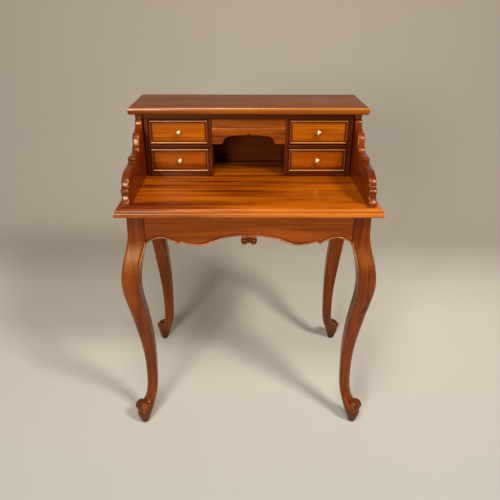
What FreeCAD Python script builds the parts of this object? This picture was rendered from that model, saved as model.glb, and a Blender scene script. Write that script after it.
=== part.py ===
"""Bonheur du jour: a small writing desk on cabriole legs with a case of four drawers under a gallery shelf.

Millimetres. +Z is up, the front faces -Y and +X is to the viewer's right. The origin is on the
floor under the middle of the rectangle on which the four leg posts stand.
Every size is a named cell of the sheet "sizes", and every piece is bound to those cells.
"""
import FreeCAD
import Part
import Sketcher
import os
import re

os.makedirs("parts", exist_ok=True)
doc = FreeCAD.newDocument("bonheur_du_jour")

# ---------------------------------------------------------------- sizes

SIZES = {
    # the writing surface
    "desk_width": 721.5,
    "desk_depth": 489.5,
    "desk_height": 755,
    "slab_thickness": 26.5,
    "side_overhang": 26.75,
    "front_overhang": 28,
    "rear_overhang": 5.5,
    "slab_ovolo_inset": 12,
    "slab_ovolo_drop": 13.5,
    "slab_ovolo_foot_inset": 0.8,
    "slab_quirk_depth": 1.2,
    "slab_quirk_width": 2,
    "slab_lip_round": 2.5,
    # the shelf on top of the gallery
    "shelf_thickness": 22.5,
    "shelf_side_overhang": 15,
    "shelf_front_overhang": 21,
    "shelf_rear_overhang": 3,
    "shelf_ovolo_inset": 8,
    "shelf_ovolo_drop": 11,
    "shelf_ovolo_bow": 2.2,
    "shelf_under_round": 6.5,
    # legs: the square post, then each station's place, reach along both axes, half width and corner
    # upper stations hang from the slab, the ankle and what is below it stand on the floor
    "leg_square": 46,
    "post_arris_radius": 2,
    "post_length": 92,
    "collar_drop": 23.5,
    "collar_reach": 0,
    "collar_half": 22,
    "collar_round": 3,
    "block_drop": 91.5,
    "block_reach": 2.85,
    "block_half": 25.85,
    "block_round": 6,
    "shoulder_drop": 128.5,
    "shoulder_reach": 13.6,
    "shoulder_half": 25.2,
    "shoulder_round": 8.5,
    "knee_drop": 208.5,
    "knee_reach": 25.8,
    "knee_half": 26,
    "knee_round": 13,
    "calf_reach": 16.9,
    "calf_half": 23.9,
    "calf_round": 13.8,
    "shin_reach": 5.4,
    "shin_half": 21.9,
    "shin_round": 14.6,
    "waist_reach": -1.6,
    "waist_half": 18.4,
    "waist_round": 13.7,
    "ankle_height": 170,
    "ankle_reach": -1.8,
    "ankle_half": 16.7,
    "ankle_round": 13.9,
    "instep_height": 95,
    "instep_reach": 5.8,
    "instep_half": 16.9,
    "instep_round": 15,
    "toe_height": 48,
    "toe_reach": 18.5,
    "toe_half": 15,
    "toe_round": 13.5,
    # the scrolled foot: a tapered pad below a scroll that lies across the leg's diagonal
    "pad_reach": 29,
    "sole_radius": 10.5,
    "pad_waist_radius": 18.5,
    "pad_waist_height": 32,
    "pad_top_radius": 22,
    "pad_top_height": 60,
    "pad_cap_rise": 7.3,
    "scroll_reach": 25.5,
    "scroll_height": 62,
    "scroll_radius": 19,
    "scroll_width": 30,
    "scroll_crown_width": 14,
    "scroll_end_radius": 15,
    "scroll_eye_radius": 8,
    "scroll_eye_relief": 2.5,
    # aprons and their joints with the posts
    "apron_thickness": 20,
    "apron_setback": 3,
    "apron_bead_width": 5.5,
    "apron_bead_relief": 2,
    "rear_apron_height": 72,
    "tenon_length": 18,
    "tenon_thickness": 8,
    "tenon_height": 44,
    "tenon_drop": 14,
    "joint_clearance": 0.15,
    # lower edge of the front apron from the middle outwards: distances from the middle, drops from the top
    "lobe_radius": 12.4,
    "lobe_thickness": 12,
    "lobe_relief": 2.6,
    "lobe_drop": 83,
    "lobe_eye_radius": 5,
    "lobe_eye_relief": 2,
    "arch_start": 18,
    "arch_start_drop": 66.5,
    "arch_end": 92,
    "arch_end_drop": 82,
    "arch_bow": 3.7,
    "belly_end_inset": 98,
    "belly_end_drop": 84.5,
    "belly_bow": 11.5,
    "drip_inset": 90,
    "drip_drop": 95.5,
    "ogee_inset": 74,
    "ogee_drop": 81,
    "ogee_bow": 1.5,
    "apron_end_drop": 90,
    "apron_end_bow": 16,
    # lower edge of the side aprons
    "side_belly_inset": 116,
    "side_belly_drop": 84,
    "side_belly_bow": 9,
    "side_notch_inset": 94,
    "side_notch_drop": 93,
    "side_end_bow": 14,
    # gallery sides, their front outline from the head down: setbacks from the desk front, drops from the head
    "gallery_thickness": 22,
    "gallery_side_inset": 21.75,
    "gallery_rear_inset": 7.5,
    "head_setback": 286,
    "head_drop": 16,
    "step_setback": 274,
    "step_drop": 24,
    "step_bow": 2.5,
    "cove_top_drop": 33,
    "nose_setback": 229,
    "nose_drop": 48,
    "cove_bow": 3,
    "chin_setback": 211,
    "chin_drop": 75,
    "chin_bow": 2.5,
    "sweep_setback": 146,
    "sweep_drop": 90,
    "sweep_bow": 3,
    "notch_drop": 99,
    "swell_setback": 58,
    "swell_drop": 119,
    "long_bow": 3.5,
    "roll_setback": 38,
    "roll_drop": 141,
    "roll_bow": 2,
    "cusp_setback": 32,
    "cusp_drop": 148,
    "throat_setback": 39,
    "throat_drop": 157,
    "throat_bow": 1.5,
    "foot_setback": 16,
    "foot_drop": 172,
    "foot_bow": 5,
    # back panel in its grooves
    "back_panel_thickness": 8,
    "back_panel_inset": 12,
    "back_panel_tongue": 8,
    "groove_clearance": 0.1,
    # the case of drawers
    "writing_depth": 281,
    "case_gap": 3.5,
    "case_end_thickness": 12,
    "divider_thickness": 10,
    "bay_width": 181,
    "case_bottom_thickness": 12.5,
    "case_rail_thickness": 10,
    "case_top_thickness": 17,
    "drawer_opening_height": 76.5,
    "housing_depth": 4,
    # valance over the pigeonhole, its lower edge measured from its foot
    "valance_thickness": 12,
    "valance_height": 74.5,
    "valance_foot_width": 22,
    "lobe_inset": 32.5,
    "lobe_rise": 6,
    "valance_lobe_bow": 2,
    "spandrel_inset": 57.5,
    "spandrel_rise": 24,
    "spandrel_bow": 5,
    "crown_side": 7,
    "crown_rise": 27,
    "crown_bow": 1,
    "crown_tip_rise": 34,
    "crown_tip_bow": 1,
    # drawers
    "drawer_reveal": 1.5,
    "drawer_setback": 2,
    "drawer_side_gap": 1,
    "drawer_running_gap": 0.3,
    "drawer_front_thickness": 12,
    "drawer_side_thickness": 8,
    "drawer_back_thickness": 8,
    "drawer_side_height": 62,
    "drawer_bottom_thickness": 4,
    "drawer_bottom_raise": 6,
    "drawer_groove_depth": 4,
    "cockbead_width": 5,
    "cockbead_height": 3.5,
    "cockbead_inset": 1.5,
    "cockbead_round": 2.25,
    "stop_length": 13.7,
    "stop_width": 40,
    "stop_height": 12,
    # knobs
    "knob_radius": 8,
    "knob_thickness": 10.5,
    "knob_projection": 17,
    "knob_rose_radius": 5.6,
    "knob_rose_thickness": 1.6,
    "knob_neck_radius": 2.8,
    "knob_shank_radius": 1.8,
    "knob_shank_length": 10,
    # corner blocks, screws and dowels
    "corner_block_leg": 46,
    "corner_block_height": 50,
    "screw_radius": 2,
    "screw_head_radius": 4,
    "screw_head_height": 2.4,
    "screw_clearance": 0.15,
    "top_screw_length": 60,
    "top_screw_inset": 29,
    "gallery_screw_length": 55,
    "gallery_screw_spread": 165,
    "case_screw_length": 30,
    "case_screw_setback": 88,
    "dowel_radius": 4,
    "dowel_length": 30,
    "dowel_spread": 65,
}

DERIVED = {
    "desk_half": "desk_width / 2",
    "slab_bottom": "desk_height - slab_thickness",
    "frame_half": "(desk_depth - front_overhang - rear_overhang) / 2",
    "desk_front": "-(frame_half + front_overhang)",
    "desk_rear": "frame_half + rear_overhang",
    "post_half": "leg_square / 2",
    "leg_place_x": "desk_half - side_overhang - post_half",
    "leg_place_y": "frame_half - post_half",
    "post_inner_x": "leg_place_x - post_half",
    "post_inner_y": "leg_place_y - post_half",
    "apron_offset": "post_half - apron_setback - apron_thickness / 2",
    "collar_height": "slab_bottom - collar_drop",
    "block_height": "slab_bottom - block_drop",
    "shoulder_height": "slab_bottom - shoulder_drop",
    "knee_height": "slab_bottom - knee_drop",
    # the calf, shin and waist divide the run from the knee down to the ankle into four equal parts
    "calf_height": "ankle_height + (knee_height - ankle_height) * 3 / 4",
    "shin_height": "ankle_height + (knee_height - ankle_height) / 2",
    "waist_height": "ankle_height + (knee_height - ankle_height) / 4",
    "mortise_top": "slab_bottom - tenon_drop + joint_clearance",
    "mortise_foot": "slab_bottom - tenon_drop - tenon_height - joint_clearance",
    "mortise_half": "tenon_thickness / 2 + joint_clearance",
    "mortise_depth": "tenon_length + joint_clearance",
    "gallery_outer": "desk_half - gallery_side_inset",
    "gallery_inner": "gallery_outer - gallery_thickness",
    "gallery_rear": "desk_rear - gallery_rear_inset",
    "back_panel_rear": "gallery_rear - back_panel_inset",
    "back_panel_front": "back_panel_rear - back_panel_thickness",
    "case_outer": "gallery_inner - case_gap",
    "case_inner": "case_outer - case_end_thickness",
    "divider_outer": "case_inner - bay_width",
    "divider_inner": "divider_outer - divider_thickness",
    "case_front": "desk_front + writing_depth",
    "lower_floor": "desk_height + case_bottom_thickness",
    "lower_ceiling": "lower_floor + drawer_opening_height",
    "upper_floor": "lower_ceiling + case_rail_thickness",
    "upper_ceiling": "upper_floor + drawer_opening_height",
    "shelf_bottom": "upper_ceiling + case_top_thickness",
    "shelf_top": "shelf_bottom + shelf_thickness",
    "shelf_half": "gallery_outer + shelf_side_overhang",
    "shelf_front": "case_front - shelf_front_overhang",
    "shelf_rear": "gallery_rear + shelf_rear_overhang",
    "drawer_face": "case_front + drawer_setback",
    "stop_front": "back_panel_front - stop_length",
    "drawer_rear": "stop_front - drawer_running_gap",
    "bay_middle": "divider_outer + bay_width / 2",
    "valance_foot": "upper_ceiling - valance_height",
}

sheet = doc.addObject("Spreadsheet::Sheet", "sizes")
ALIAS = re.compile(r"[a-z]+(?:_[a-z]+)+")
PIECES = []
SIDES = (("left", "-1"), ("right", "1"))
CORNERS = (
    ("front_left", "-1", "-1", 180),
    ("front_right", "1", "-1", -90),
    ("rear_right", "1", "1", 0),
    ("rear_left", "-1", "1", 90),
)


def fill_sheet():
    """One row per size: its name in column A, its number or formula in column B under that alias."""
    rows = list(SIZES.items()) + [(name, "=" + text) for name, text in DERIVED.items()]
    for row, (name, content) in enumerate(rows, start=1):
        sheet.set(f"A{row}", name)
        sheet.set(f"B{row}", str(content))
        sheet.setAlias(f"B{row}", name)
    doc.recompute()


fill_sheet()


def tie(text):
    """An expression in which each size name refers to its cell of the sheet."""
    return ALIAS.sub(lambda found: "sizes." + found.group(0), str(text))


def value(text):
    """The number that an expression on the sheet stands for now."""
    return float(sheet.evalExpression(tie(text)))


def bind(item, **expressions):
    """Bind properties of an object to expressions; two underscores stand for a dot."""
    for path, text in expressions.items():
        item.setExpression(path.replace("__", "."), tie(text))
    return item


def place(item, x="0", y="0", z="0", axis=(0, 0, 1), turn=0):
    """Turn an object about an axis through its own origin and bind its place to the sheet."""
    turned = FreeCAD.Rotation(FreeCAD.Vector(*axis), turn)
    item.Placement = FreeCAD.Placement(FreeCAD.Vector(), turned)
    return bind(item, Placement__Base__x=x, Placement__Base__y=y, Placement__Base__z=z)


def piece(item, label):
    """Register an object as one finished sub-part of the desk."""
    item.Label = label
    PIECES.append(item)
    return item


# ---------------------------------------------------------------- solids and booleans


def box(name, x, y, z):
    """A block that spans a pair of expressions along each axis."""
    block = doc.addObject("Part::Box", name)
    for side, axis, (low, high) in (("Length", "x", x), ("Width", "y", y), ("Height", "z", z)):
        block.setExpression(side, tie(f"({high}) - ({low})"))
        block.setExpression("Placement.Base." + axis, tie(low))
    return block


def turn_along(item, direction):
    """Turn a bar that was made upright so that it runs along a direction."""
    turned = FreeCAD.Rotation(FreeCAD.Vector(0, 0, 1), FreeCAD.Vector(*direction))
    item.Placement = FreeCAD.Placement(FreeCAD.Vector(), turned)
    return item


def bar(name, radius, length, start, direction):
    """A round bar that runs from a start point along a direction."""
    solid = turn_along(doc.addObject("Part::Cylinder", name), direction)
    bind(solid, Radius=radius, Height=length)
    return bind(solid, Placement__Base__x=start[0], Placement__Base__y=start[1], Placement__Base__z=start[2])


def fuse(name, solids):
    """One solid from several that run into each other."""
    if len(solids) == 1:
        return solids[0]
    joined = doc.addObject("Part::MultiFuse", name)
    joined.Shapes = list(solids)
    joined.Refine = True
    return joined


def cut(name, base, tools):
    """The base less all the tools."""
    left = doc.addObject("Part::Cut", name)
    left.Base = base
    left.Tool = fuse(name + "_tools", tools)
    left.Refine = True
    return left


def group(name, solids):
    """Separate solids that make up one sub-part, such as a set of screws."""
    together = doc.addObject("Part::Compound", name)
    together.Links = list(solids)
    return together


def mirrored(name, source):
    """The same piece on the other side of the desk's middle plane."""
    copy = doc.addObject("Part::Mirroring", name)
    copy.Source = source
    copy.Normal = FreeCAD.Vector(1, 0, 0)
    return copy


# ---------------------------------------------------------------- sketches


def origin_plane(body, role):
    """One of a body's own origin planes, such as XZ_Plane."""
    return next(item for item in body.Origin.OriginFeatures if item.Role == role)


def side_curve(start, end, bow):
    """The side between two corners, and whether it runs forwards: a line, or an arc bowed to its left.

    A sketch keeps its arcs counterclockwise, so one that bows to the left is drawn backwards.
    """
    first = FreeCAD.Vector(value(start[0]), value(start[1]), 0)
    last = FreeCAD.Vector(value(end[0]), value(end[1]), 0)
    if bow is None:
        return Part.LineSegment(first, last), True
    along = last - first
    left = FreeCAD.Vector(-along.y, along.x, 0).normalize()
    crown = (first + last) * 0.5 + left * value(bow)
    if value(bow) > 0:
        return Part.ArcOfCircle(last, crown, first), False
    return Part.ArcOfCircle(first, crown, last), True


def arc_radius(start, end, bow):
    """Radius of an arc from its chord and the height of its bow."""
    chord_squared = f"(({end[0]}) - ({start[0]}))^2 + (({end[1]}) - ({start[1]}))^2"
    return f"({chord_squared}) / (8 * abs({bow})) + abs({bow}) / 2"


def hold(sketch, constraint, text):
    """Add a sketch constraint whose size is bound to an expression."""
    number = sketch.addConstraint(constraint)
    sketch.setExpression(f"Constraints[{number}]", tie(text))


def outline(body, role, name, corners, offset="0", turn=0):
    """A closed sketch through the corners, each held at its two expressions.

    A corner is (x, y) or (x, y, bow): with a bow, the side that leaves the corner is an arc.
    The sketch lies an offset above the plane and can be turned about its own normal.
    """
    sketch = body.newObject("Sketcher::SketchObject", name)
    sketch.AttachmentSupport = [(origin_plane(body, role), "")]
    sketch.MapMode = "FlatFace"
    turned = FreeCAD.Rotation(FreeCAD.Vector(0, 0, 1), turn)
    sketch.AttachmentOffset = FreeCAD.Placement(FreeCAD.Vector(), turned)
    sketch.setExpression("AttachmentOffset.Base.z", tie(offset))
    ends = []
    for index, corner in enumerate(corners):
        following = corners[(index + 1) % len(corners)]
        bow = corner[2] if len(corner) > 2 else None
        curve, forwards = side_curve(corner, following, bow)
        sketch.addGeometry(curve)
        ends.append((1, 2) if forwards else (2, 1))
        across, upward = (Sketcher.Constraint(kind, -1, 1, index, ends[index][0], value(text))
                          for kind, text in (("DistanceX", corner[0]), ("DistanceY", corner[1])))
        hold(sketch, across, corner[0])
        hold(sketch, upward, corner[1])
        if bow is not None:
            radius = arc_radius(corner, following, bow)
            hold(sketch, Sketcher.Constraint("Radius", index, value(radius)), radius)
    for index in range(len(corners)):
        after = (index + 1) % len(corners)
        sketch.addConstraint(Sketcher.Constraint("Coincident", index, ends[index][1], after, ends[after][0]))
    return sketch


def reflected(path):
    """The same run of corners on the other side of the middle, walked back the other way."""
    back = []
    for index in reversed(range(len(path))):
        arriving = path[index - 1][2:] if index else ()
        back.append((f"-({path[index][0]})", path[index][1]) + arriving)
    return back


def rectangle(x, y):
    """Corners of a rectangle, counterclockwise."""
    return [(x[0], y[0]), (x[1], y[0]), (x[1], y[1]), (x[0], y[1])]


def quarter_bow(radius):
    """Height of the bow of a quarter circle."""
    return f"({radius}) * (1 - cos(45 deg))"


# ---------------------------------------------------------------- body features


def new_body(name):
    """An empty body."""
    return doc.addObject("PartDesign::Body", name)


def pad(body, sketch, length, name, middle=False):
    """Thicken a sketch along its plane's normal, or equally to both sides of the plane."""
    solid = body.newObject("PartDesign::Pad", name)
    solid.Profile = sketch
    solid.Midplane = middle
    return bind(solid, Length=length)


def middle_pocket(body, sketch, length, name):
    """Cut a sketch's shape equally to both sides of its plane and check that it takes wood away."""
    doc.recompute()
    before = body.Shape.Volume
    hollow = body.newObject("PartDesign::Pocket", name)
    hollow.Profile = sketch
    hollow.Midplane = True
    bind(hollow, Length=length)
    doc.recompute()
    if body.Shape.Volume >= before:
        raise RuntimeError(name + " cuts nothing")


def revolve(body, sketch, name):
    """Turn a sketch once about its own upright axis."""
    solid = body.newObject("PartDesign::Revolution", name)
    solid.Profile = sketch
    solid.ReferenceAxis = (sketch, ["V_Axis"])
    solid.Angle = 360
    return solid


# ---------------------------------------------------------------- writing surface and shelf


def slab_moulding(edge):
    """Right-hand edge of the writing slab from top to bottom: quarter round, quirk and rounded lip."""
    shoulder = "desk_height - slab_ovolo_drop"
    ledge = shoulder + " - slab_quirk_width"
    quirk = f"{edge} - slab_lip_round - slab_quirk_depth"
    return [
        (f"{edge} - slab_ovolo_inset", "desk_height", quarter_bow("slab_ovolo_drop")),
        (f"{edge} - slab_ovolo_foot_inset", shoulder),
        (quirk, shoulder),
        (quirk, ledge),
        (f"{edge} - slab_lip_round", ledge, quarter_bow("slab_lip_round")),
        (edge, ledge + " - slab_lip_round"),
        (edge, "slab_bottom + slab_lip_round", quarter_bow("slab_lip_round")),
        (f"{edge} - slab_lip_round", "slab_bottom"),
    ]


def shelf_moulding(edge):
    """Right-hand edge of the shelf from top to bottom: quarter round, flat and rounded underside."""
    return [
        (f"{edge} - shelf_ovolo_inset", "shelf_top", "shelf_ovolo_bow"),
        (edge, "shelf_top - shelf_ovolo_drop"),
        (edge, "shelf_bottom + shelf_under_round", quarter_bow("shelf_under_round")),
        (f"{edge} - shelf_under_round", "shelf_bottom"),
    ]


def moulded_board(name, moulding, half, front, rear, top, bottom):
    """A board with one moulding along its front and both ends, mitred at the front corners.

    It is what a board with a moulded front and a board with moulded ends have in common.
    """
    long_way = new_body(name + "_front_moulding")
    section = reflected(moulding(f"-({front})")) + [(rear, top), (rear, bottom)]
    sketch = outline(long_way, "YZ_Plane", name + "_section", section)
    pad(long_way, sketch, f"2 * {half}", name + "_long_pad", middle=True)
    short_way = new_body(name + "_end_moulding")
    width = moulding(half) + reflected(moulding(half))
    sketch = outline(short_way, "XZ_Plane", name + "_width", width, offset=f"-({rear})")
    pad(short_way, sketch, f"({rear}) - ({front})", name + "_short_pad")
    board = doc.addObject("Part::Common", name + "_board")
    board.Base = long_way
    board.Tool = short_way
    board.Refine = True
    return board


# ---------------------------------------------------------------- cabriole legs

DIAGONAL_TURN = -135
STATIONS = ("collar", "block", "shoulder", "knee", "calf", "shin", "waist", "ankle", "instep", "toe")


def eased_square(middle, half, radius):
    """Corners of a square whose middle lies on the diagonal, each eased by two chords of a round."""
    low, high = f"({middle} - {half})", f"({middle} + {half})"
    low_start, high_end = f"{low} + {radius}", f"{high} - {radius}"
    low_crown = f"{low} + {radius} * (1 - cos(45 deg))"
    high_crown = f"{high} - {radius} * (1 - cos(45 deg))"
    return [
        (low_start, low), (high_end, low), (high_crown, low_crown),
        (high, low_start), (high, high_end), (high_crown, high_crown),
        (high_end, high), (low_start, high), (low_crown, high_crown),
        (low, high_end), (low, low_start), (low_crown, low_crown),
    ]


def curved_shaft(body, name):
    """The shaft from the collar to the toe, lofted through one eased square per station."""
    sections = []
    for station in STATIONS:
        corners = eased_square(f"{station}_reach", f"{station}_half", f"{station}_round")
        sections.append(outline(body, "XY_Plane", f"{name}_{station}", corners, offset=f"{station}_height"))
    shaft = body.newObject("PartDesign::AdditiveLoft", name + "_shaft")
    shaft.Profile = sections[0]
    shaft.Sections = sections[1:]
    shaft.Ruled = False


def square_post(body, name):
    """The square top of the leg, which the aprons are tenoned into."""
    corners = eased_square("0", "post_half", "post_arris_radius")
    sketch = outline(body, "XY_Plane", name + "_post_section", corners, offset="slab_bottom - post_length")
    pad(body, sketch, "post_length", name + "_post")


def flush_faces(body, name):
    """Cut the shaft back flush with the post's two inner faces, where the aprons meet it."""
    reach = "(post_half + block_half)"
    corners = [
        ("-post_half", reach), ("-post_half", "-post_half"), (reach, "-post_half"),
        (reach, "-" + reach), ("-" + reach, "-" + reach), ("-" + reach, reach),
    ]
    sketch = outline(body, "XY_Plane", name + "_flush_section", corners, offset="slab_bottom")
    doc.recompute()
    before = body.Shape.Volume
    trim = body.newObject("PartDesign::Pocket", name + "_flush")
    trim.Profile = sketch
    bind(trim, Length="post_length")
    doc.recompute()
    if body.Shape.Volume >= before:
        raise RuntimeError(name + " has nothing cut flush")


def foot_pad(body, name):
    """The tapered pad under the scroll, turned about an upright axis out along the diagonal."""
    corners = [
        ("0", "0"),
        ("sole_radius", "0"),
        ("pad_waist_radius", "pad_waist_height"),
        ("pad_top_radius", "pad_top_height"),
        ("0", "pad_top_height + pad_cap_rise"),
    ]
    sketch = outline(body, "XZ_Plane", name + "_pad_section", corners, offset="-pad_reach")
    sketch.setExpression("AttachmentOffset.Base.x", tie("pad_reach"))
    revolve(body, sketch, name + "_pad")


def foot_scroll(body, name):
    """The scroll: a barrel turned about a level axis across the diagonal, with a raised eye on each end."""
    half = "scroll_width / 2"
    end = f"({half} + scroll_eye_relief)"
    upper = [
        ("scroll_radius", "scroll_crown_width / 2"),
        ("scroll_end_radius", half),
        ("scroll_eye_radius", half),
        ("scroll_eye_radius", end),
        ("0", end),
    ]
    lower = [(across, f"-({along})") for across, along in reversed(upper)]
    sketch = outline(body, "XY_Plane", name + "_scroll_section", lower + upper,
                     offset="scroll_height", turn=DIAGONAL_TURN)
    for axis in ("x", "y"):
        sketch.setExpression("AttachmentOffset.Base." + axis, tie("scroll_reach"))
    revolve(body, sketch, name + "_scroll")


def mortises(body, name):
    """One mortise in each inner face of the post, on the apron's middle line."""
    across = ("apron_offset - mortise_half", "apron_offset + mortise_half")
    tall = ("mortise_foot", "mortise_top")
    sketch = outline(body, "YZ_Plane", name + "_side_mortise", rectangle(across, tall), offset="-post_half")
    middle_pocket(body, sketch, "2 * mortise_depth", name + "_side_pocket")
    sketch = outline(body, "XZ_Plane", name + "_long_mortise", rectangle(across, tall), offset="post_half")
    middle_pocket(body, sketch, "2 * mortise_depth", name + "_long_pocket")


def leg(label, side, end, turn):
    """A cabriole leg, made with its knee towards +X and +Y and turned to its corner."""
    body = new_body(label)
    curved_shaft(body, label)
    square_post(body, label)
    flush_faces(body, label)
    foot_pad(body, label)
    foot_scroll(body, label)
    mortises(body, label)
    place(body, x=f"{side} * leg_place_x", y=f"{end} * leg_place_y", turn=turn)
    piece(body, label)


# ---------------------------------------------------------------- aprons


def drop(size):
    """The height that lies a size below the underside of the slab."""
    return f"slab_bottom - {size}"


def front_edge():
    """Lower edge of the front apron from the middle to the right-hand end."""
    return [
        ("0", drop("lobe_drop")),
        ("arch_start", drop("arch_start_drop"), "arch_bow"),
        ("arch_end", drop("arch_end_drop"), "-belly_bow"),
        ("post_inner_x - belly_end_inset", drop("belly_end_drop")),
        ("post_inner_x - drip_inset", drop("drip_drop"), "-ogee_bow"),
        ("post_inner_x - ogee_inset", drop("ogee_drop"), "apron_end_bow"),
        ("post_inner_x", drop("apron_end_drop")),
    ]


def side_edge():
    """Lower edge of a side apron from the middle to one end."""
    return [
        ("post_inner_y - side_belly_inset", drop("side_belly_drop")),
        ("post_inner_y - side_notch_inset", drop("side_notch_drop"), "side_end_bow"),
        ("post_inner_y", drop("apron_end_drop")),
    ]


def tenons(name, end):
    """The tenon on each end of an apron that is drawn with its middle plane at y = 0."""
    thick = ("-tenon_thickness / 2", "tenon_thickness / 2")
    tall = ("mortise_foot + joint_clearance", "mortise_top - joint_clearance")
    right = box(name + "_right_tenon", (end, f"{end} + tenon_length"), thick, tall)
    left = box(name + "_left_tenon", (f"-{end} - tenon_length", f"-{end}"), thick, tall)
    return [right, left]


def apron_board(name, end, edge, middle_bow=None):
    """A shaped apron standing across X, with the bead along its lower edge on the -Y face."""
    lower = reflected(edge)
    if middle_bow:
        lower[-1] += (middle_bow,)
        lower += edge
    else:
        lower = lower[:-1] + edge
    body = new_body(name + "_board")
    corners = lower + [(end, "slab_bottom"), (f"-{end}", "slab_bottom")]
    board = outline(body, "XZ_Plane", name + "_face", corners, offset="-apron_thickness / 2")
    pad(body, board, "apron_thickness", name + "_pad")
    upper = [(x, f"{z} + apron_bead_width", *bow) for x, z, *bow in lower]
    bead = outline(body, "XZ_Plane", name + "_bead_face", lower + back_along(upper))
    pad(body, bead, "apron_thickness / 2 + apron_bead_relief", name + "_bead")
    return body


def back_along(path):
    """The same run of corners walked the other way."""
    back = []
    for index in reversed(range(len(path))):
        arriving = tuple(f"-({bow})" for bow in path[index - 1][2:]) if index else ()
        back.append(path[index][:2] + arriving)
    return back


def front_lobes(name):
    """Two round lobes under the middle of the front apron, each a disc with a raised eye."""
    solids = []
    face = "-(apron_thickness / 2 + lobe_relief)"
    for side, sign in SIDES:
        middle = (f"{sign} * (lobe_radius - joint_clearance)", drop("lobe_drop"))
        rear = (middle[0], f"{face} + lobe_thickness", middle[1])
        thickness = "lobe_thickness + lobe_eye_relief"
        solids.append(bar(f"{name}_{side}_disc", "lobe_radius", "lobe_thickness", rear, (0, -1, 0)))
        solids.append(bar(f"{name}_{side}_eye", "lobe_eye_radius", thickness, rear, (0, -1, 0)))
    return solids


def aprons():
    """Shaped aprons at the front and sides and a plain one at the rear, all tenoned into the posts."""
    solids = [apron_board("apron_front", "post_inner_x", front_edge())]
    solids += tenons("apron_front", "post_inner_x") + front_lobes("apron_front")
    front = fuse("apron_front_solid", solids)
    place(front, y="-(leg_place_y + apron_offset)")
    piece(front, "apron_front")
    for label, sign, turn in (("apron_left", "-1", -90), ("apron_right", "1", 90)):
        solids = [apron_board(label, "post_inner_y", side_edge(), "-side_belly_bow")]
        solids += tenons(label, "post_inner_y")
        side = fuse(label + "_solid", solids)
        place(side, x=f"{sign} * (leg_place_x + apron_offset)", turn=turn)
        piece(side, label)
    thick = ("-apron_thickness / 2", "apron_thickness / 2")
    board = box("apron_rear_board", ("-post_inner_x", "post_inner_x"), thick,
                (drop("rear_apron_height"), "slab_bottom"))
    rear = fuse("apron_rear_solid", [board] + tenons("apron_rear", "post_inner_x"))
    place(rear, y="leg_place_y + apron_offset")
    piece(rear, "apron_rear")


def corner_blocks():
    """Notched glue blocks in the corners of the frame, with the holes of the screws that hold the top."""
    near = "-(post_half)"
    far = "-(post_half + corner_block_leg)"
    wall = "apron_offset - apron_thickness / 2"
    corners = [(near, wall), (far, wall), (wall, far), (wall, near), (near, near)]
    blocks = []
    for name, side, end, turn in CORNERS:
        body = new_body("block_" + name)
        height = "corner_block_height"
        sketch = outline(body, "XY_Plane", name + "_block_section", corners, offset="slab_bottom - " + height)
        pad(body, sketch, height, name + "_block_pad")
        place(body, x=f"{side} * leg_place_x", y=f"{end} * leg_place_y", turn=turn)
        blocks.append(cut("drilled_block_" + name, body, [top_screw(name + "_block_hole", side, end, HOLE)]))
    piece(group("corner_block_set", blocks), "corner_blocks")


# ---------------------------------------------------------------- screws and dowels

SCREW = "0"
HOLE = "screw_clearance"


def screw(name, length, start, upward, ease):
    """A countersunk screw from the face it is sunk into, or, eased by a clearance, the hole for it."""
    direction = (0, 0, 1 if upward else -1)
    shank = bar(name + "_shank", f"screw_radius + {ease}", f"{length} + {ease}", start, direction)
    head = turn_along(doc.addObject("Part::Cone", name + "_head"), direction)
    bind(head, Radius1=f"screw_head_radius + {ease}", Radius2=f"screw_radius + {ease}")
    bind(head, Height=f"screw_head_height + {ease}")
    bind(head, Placement__Base__x=start[0], Placement__Base__y=start[1], Placement__Base__z=start[2])
    return fuse(name, [shank, head])


def top_screw(name, side, end, ease):
    """The screw up through a corner block into the slab."""
    start = (f"{side} * (leg_place_x - top_screw_inset)", f"{end} * (leg_place_y - top_screw_inset)",
             "slab_bottom - corner_block_height")
    return screw(name, "top_screw_length", start, True, ease)


def gallery_screws(name, sign, ease):
    """Two screws up through the slab into one gallery side."""
    middle = f"{sign} * (gallery_inner + gallery_thickness / 2)"
    return [
        screw(f"{name}_{place_name}", "gallery_screw_length", (middle, along, "slab_bottom"), True, ease)
        for place_name, along in (("front", "-gallery_screw_spread"), ("rear", "gallery_screw_spread"))
    ]


def case_screw(name, sign, ease, upward):
    """The screw up through the top of one bay into the shelf, or down through its bottom into the slab."""
    height = "upper_ceiling" if upward else "lower_floor"
    start = (f"{sign} * bay_middle", "case_front + case_screw_setback", height)
    return screw(name, "case_screw_length", start, upward, ease)


def dowels(name, sign, ease):
    """Two dowels between a gallery side and the shelf, or, eased, the holes for them."""
    middle = f"{sign} * (gallery_inner + gallery_thickness / 2)"
    head_middle = "(desk_front + head_setback + gallery_rear) / 2"
    return [
        bar(f"{name}_{place_name}", f"dowel_radius + {ease}", f"dowel_length + 2 * {ease}",
            (middle, along, f"shelf_bottom - dowel_length / 2 - {ease}"), (0, 0, 1))
        for place_name, along in (("front", f"{head_middle} - dowel_spread"),
                                  ("rear", f"{head_middle} + dowel_spread"))
    ]


def fastenings():
    """The screws and dowels themselves, one group per kind."""
    tops = [top_screw("top_screw_" + name, side, end, SCREW) for name, side, end, turn in CORNERS]
    piece(group("top_screw_set", tops), "top_screws")
    sides = [bolt for side, sign in SIDES for bolt in gallery_screws("gallery_screw_" + side, sign, SCREW)]
    piece(group("gallery_screw_set", sides), "gallery_screws")
    case = []
    for side, sign in SIDES:
        case.append(case_screw("case_top_screw_" + side, sign, SCREW, True))
        case.append(case_screw("case_bottom_screw_" + side, sign, SCREW, False))
    piece(group("case_screw_set", case), "case_screws")
    pins = [pin for side, sign in SIDES for pin in dowels("dowel_" + side, sign, SCREW)]
    piece(group("dowel_set", pins), "shelf_dowels")


# ---------------------------------------------------------------- slab, shelf, gallery and back


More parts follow.
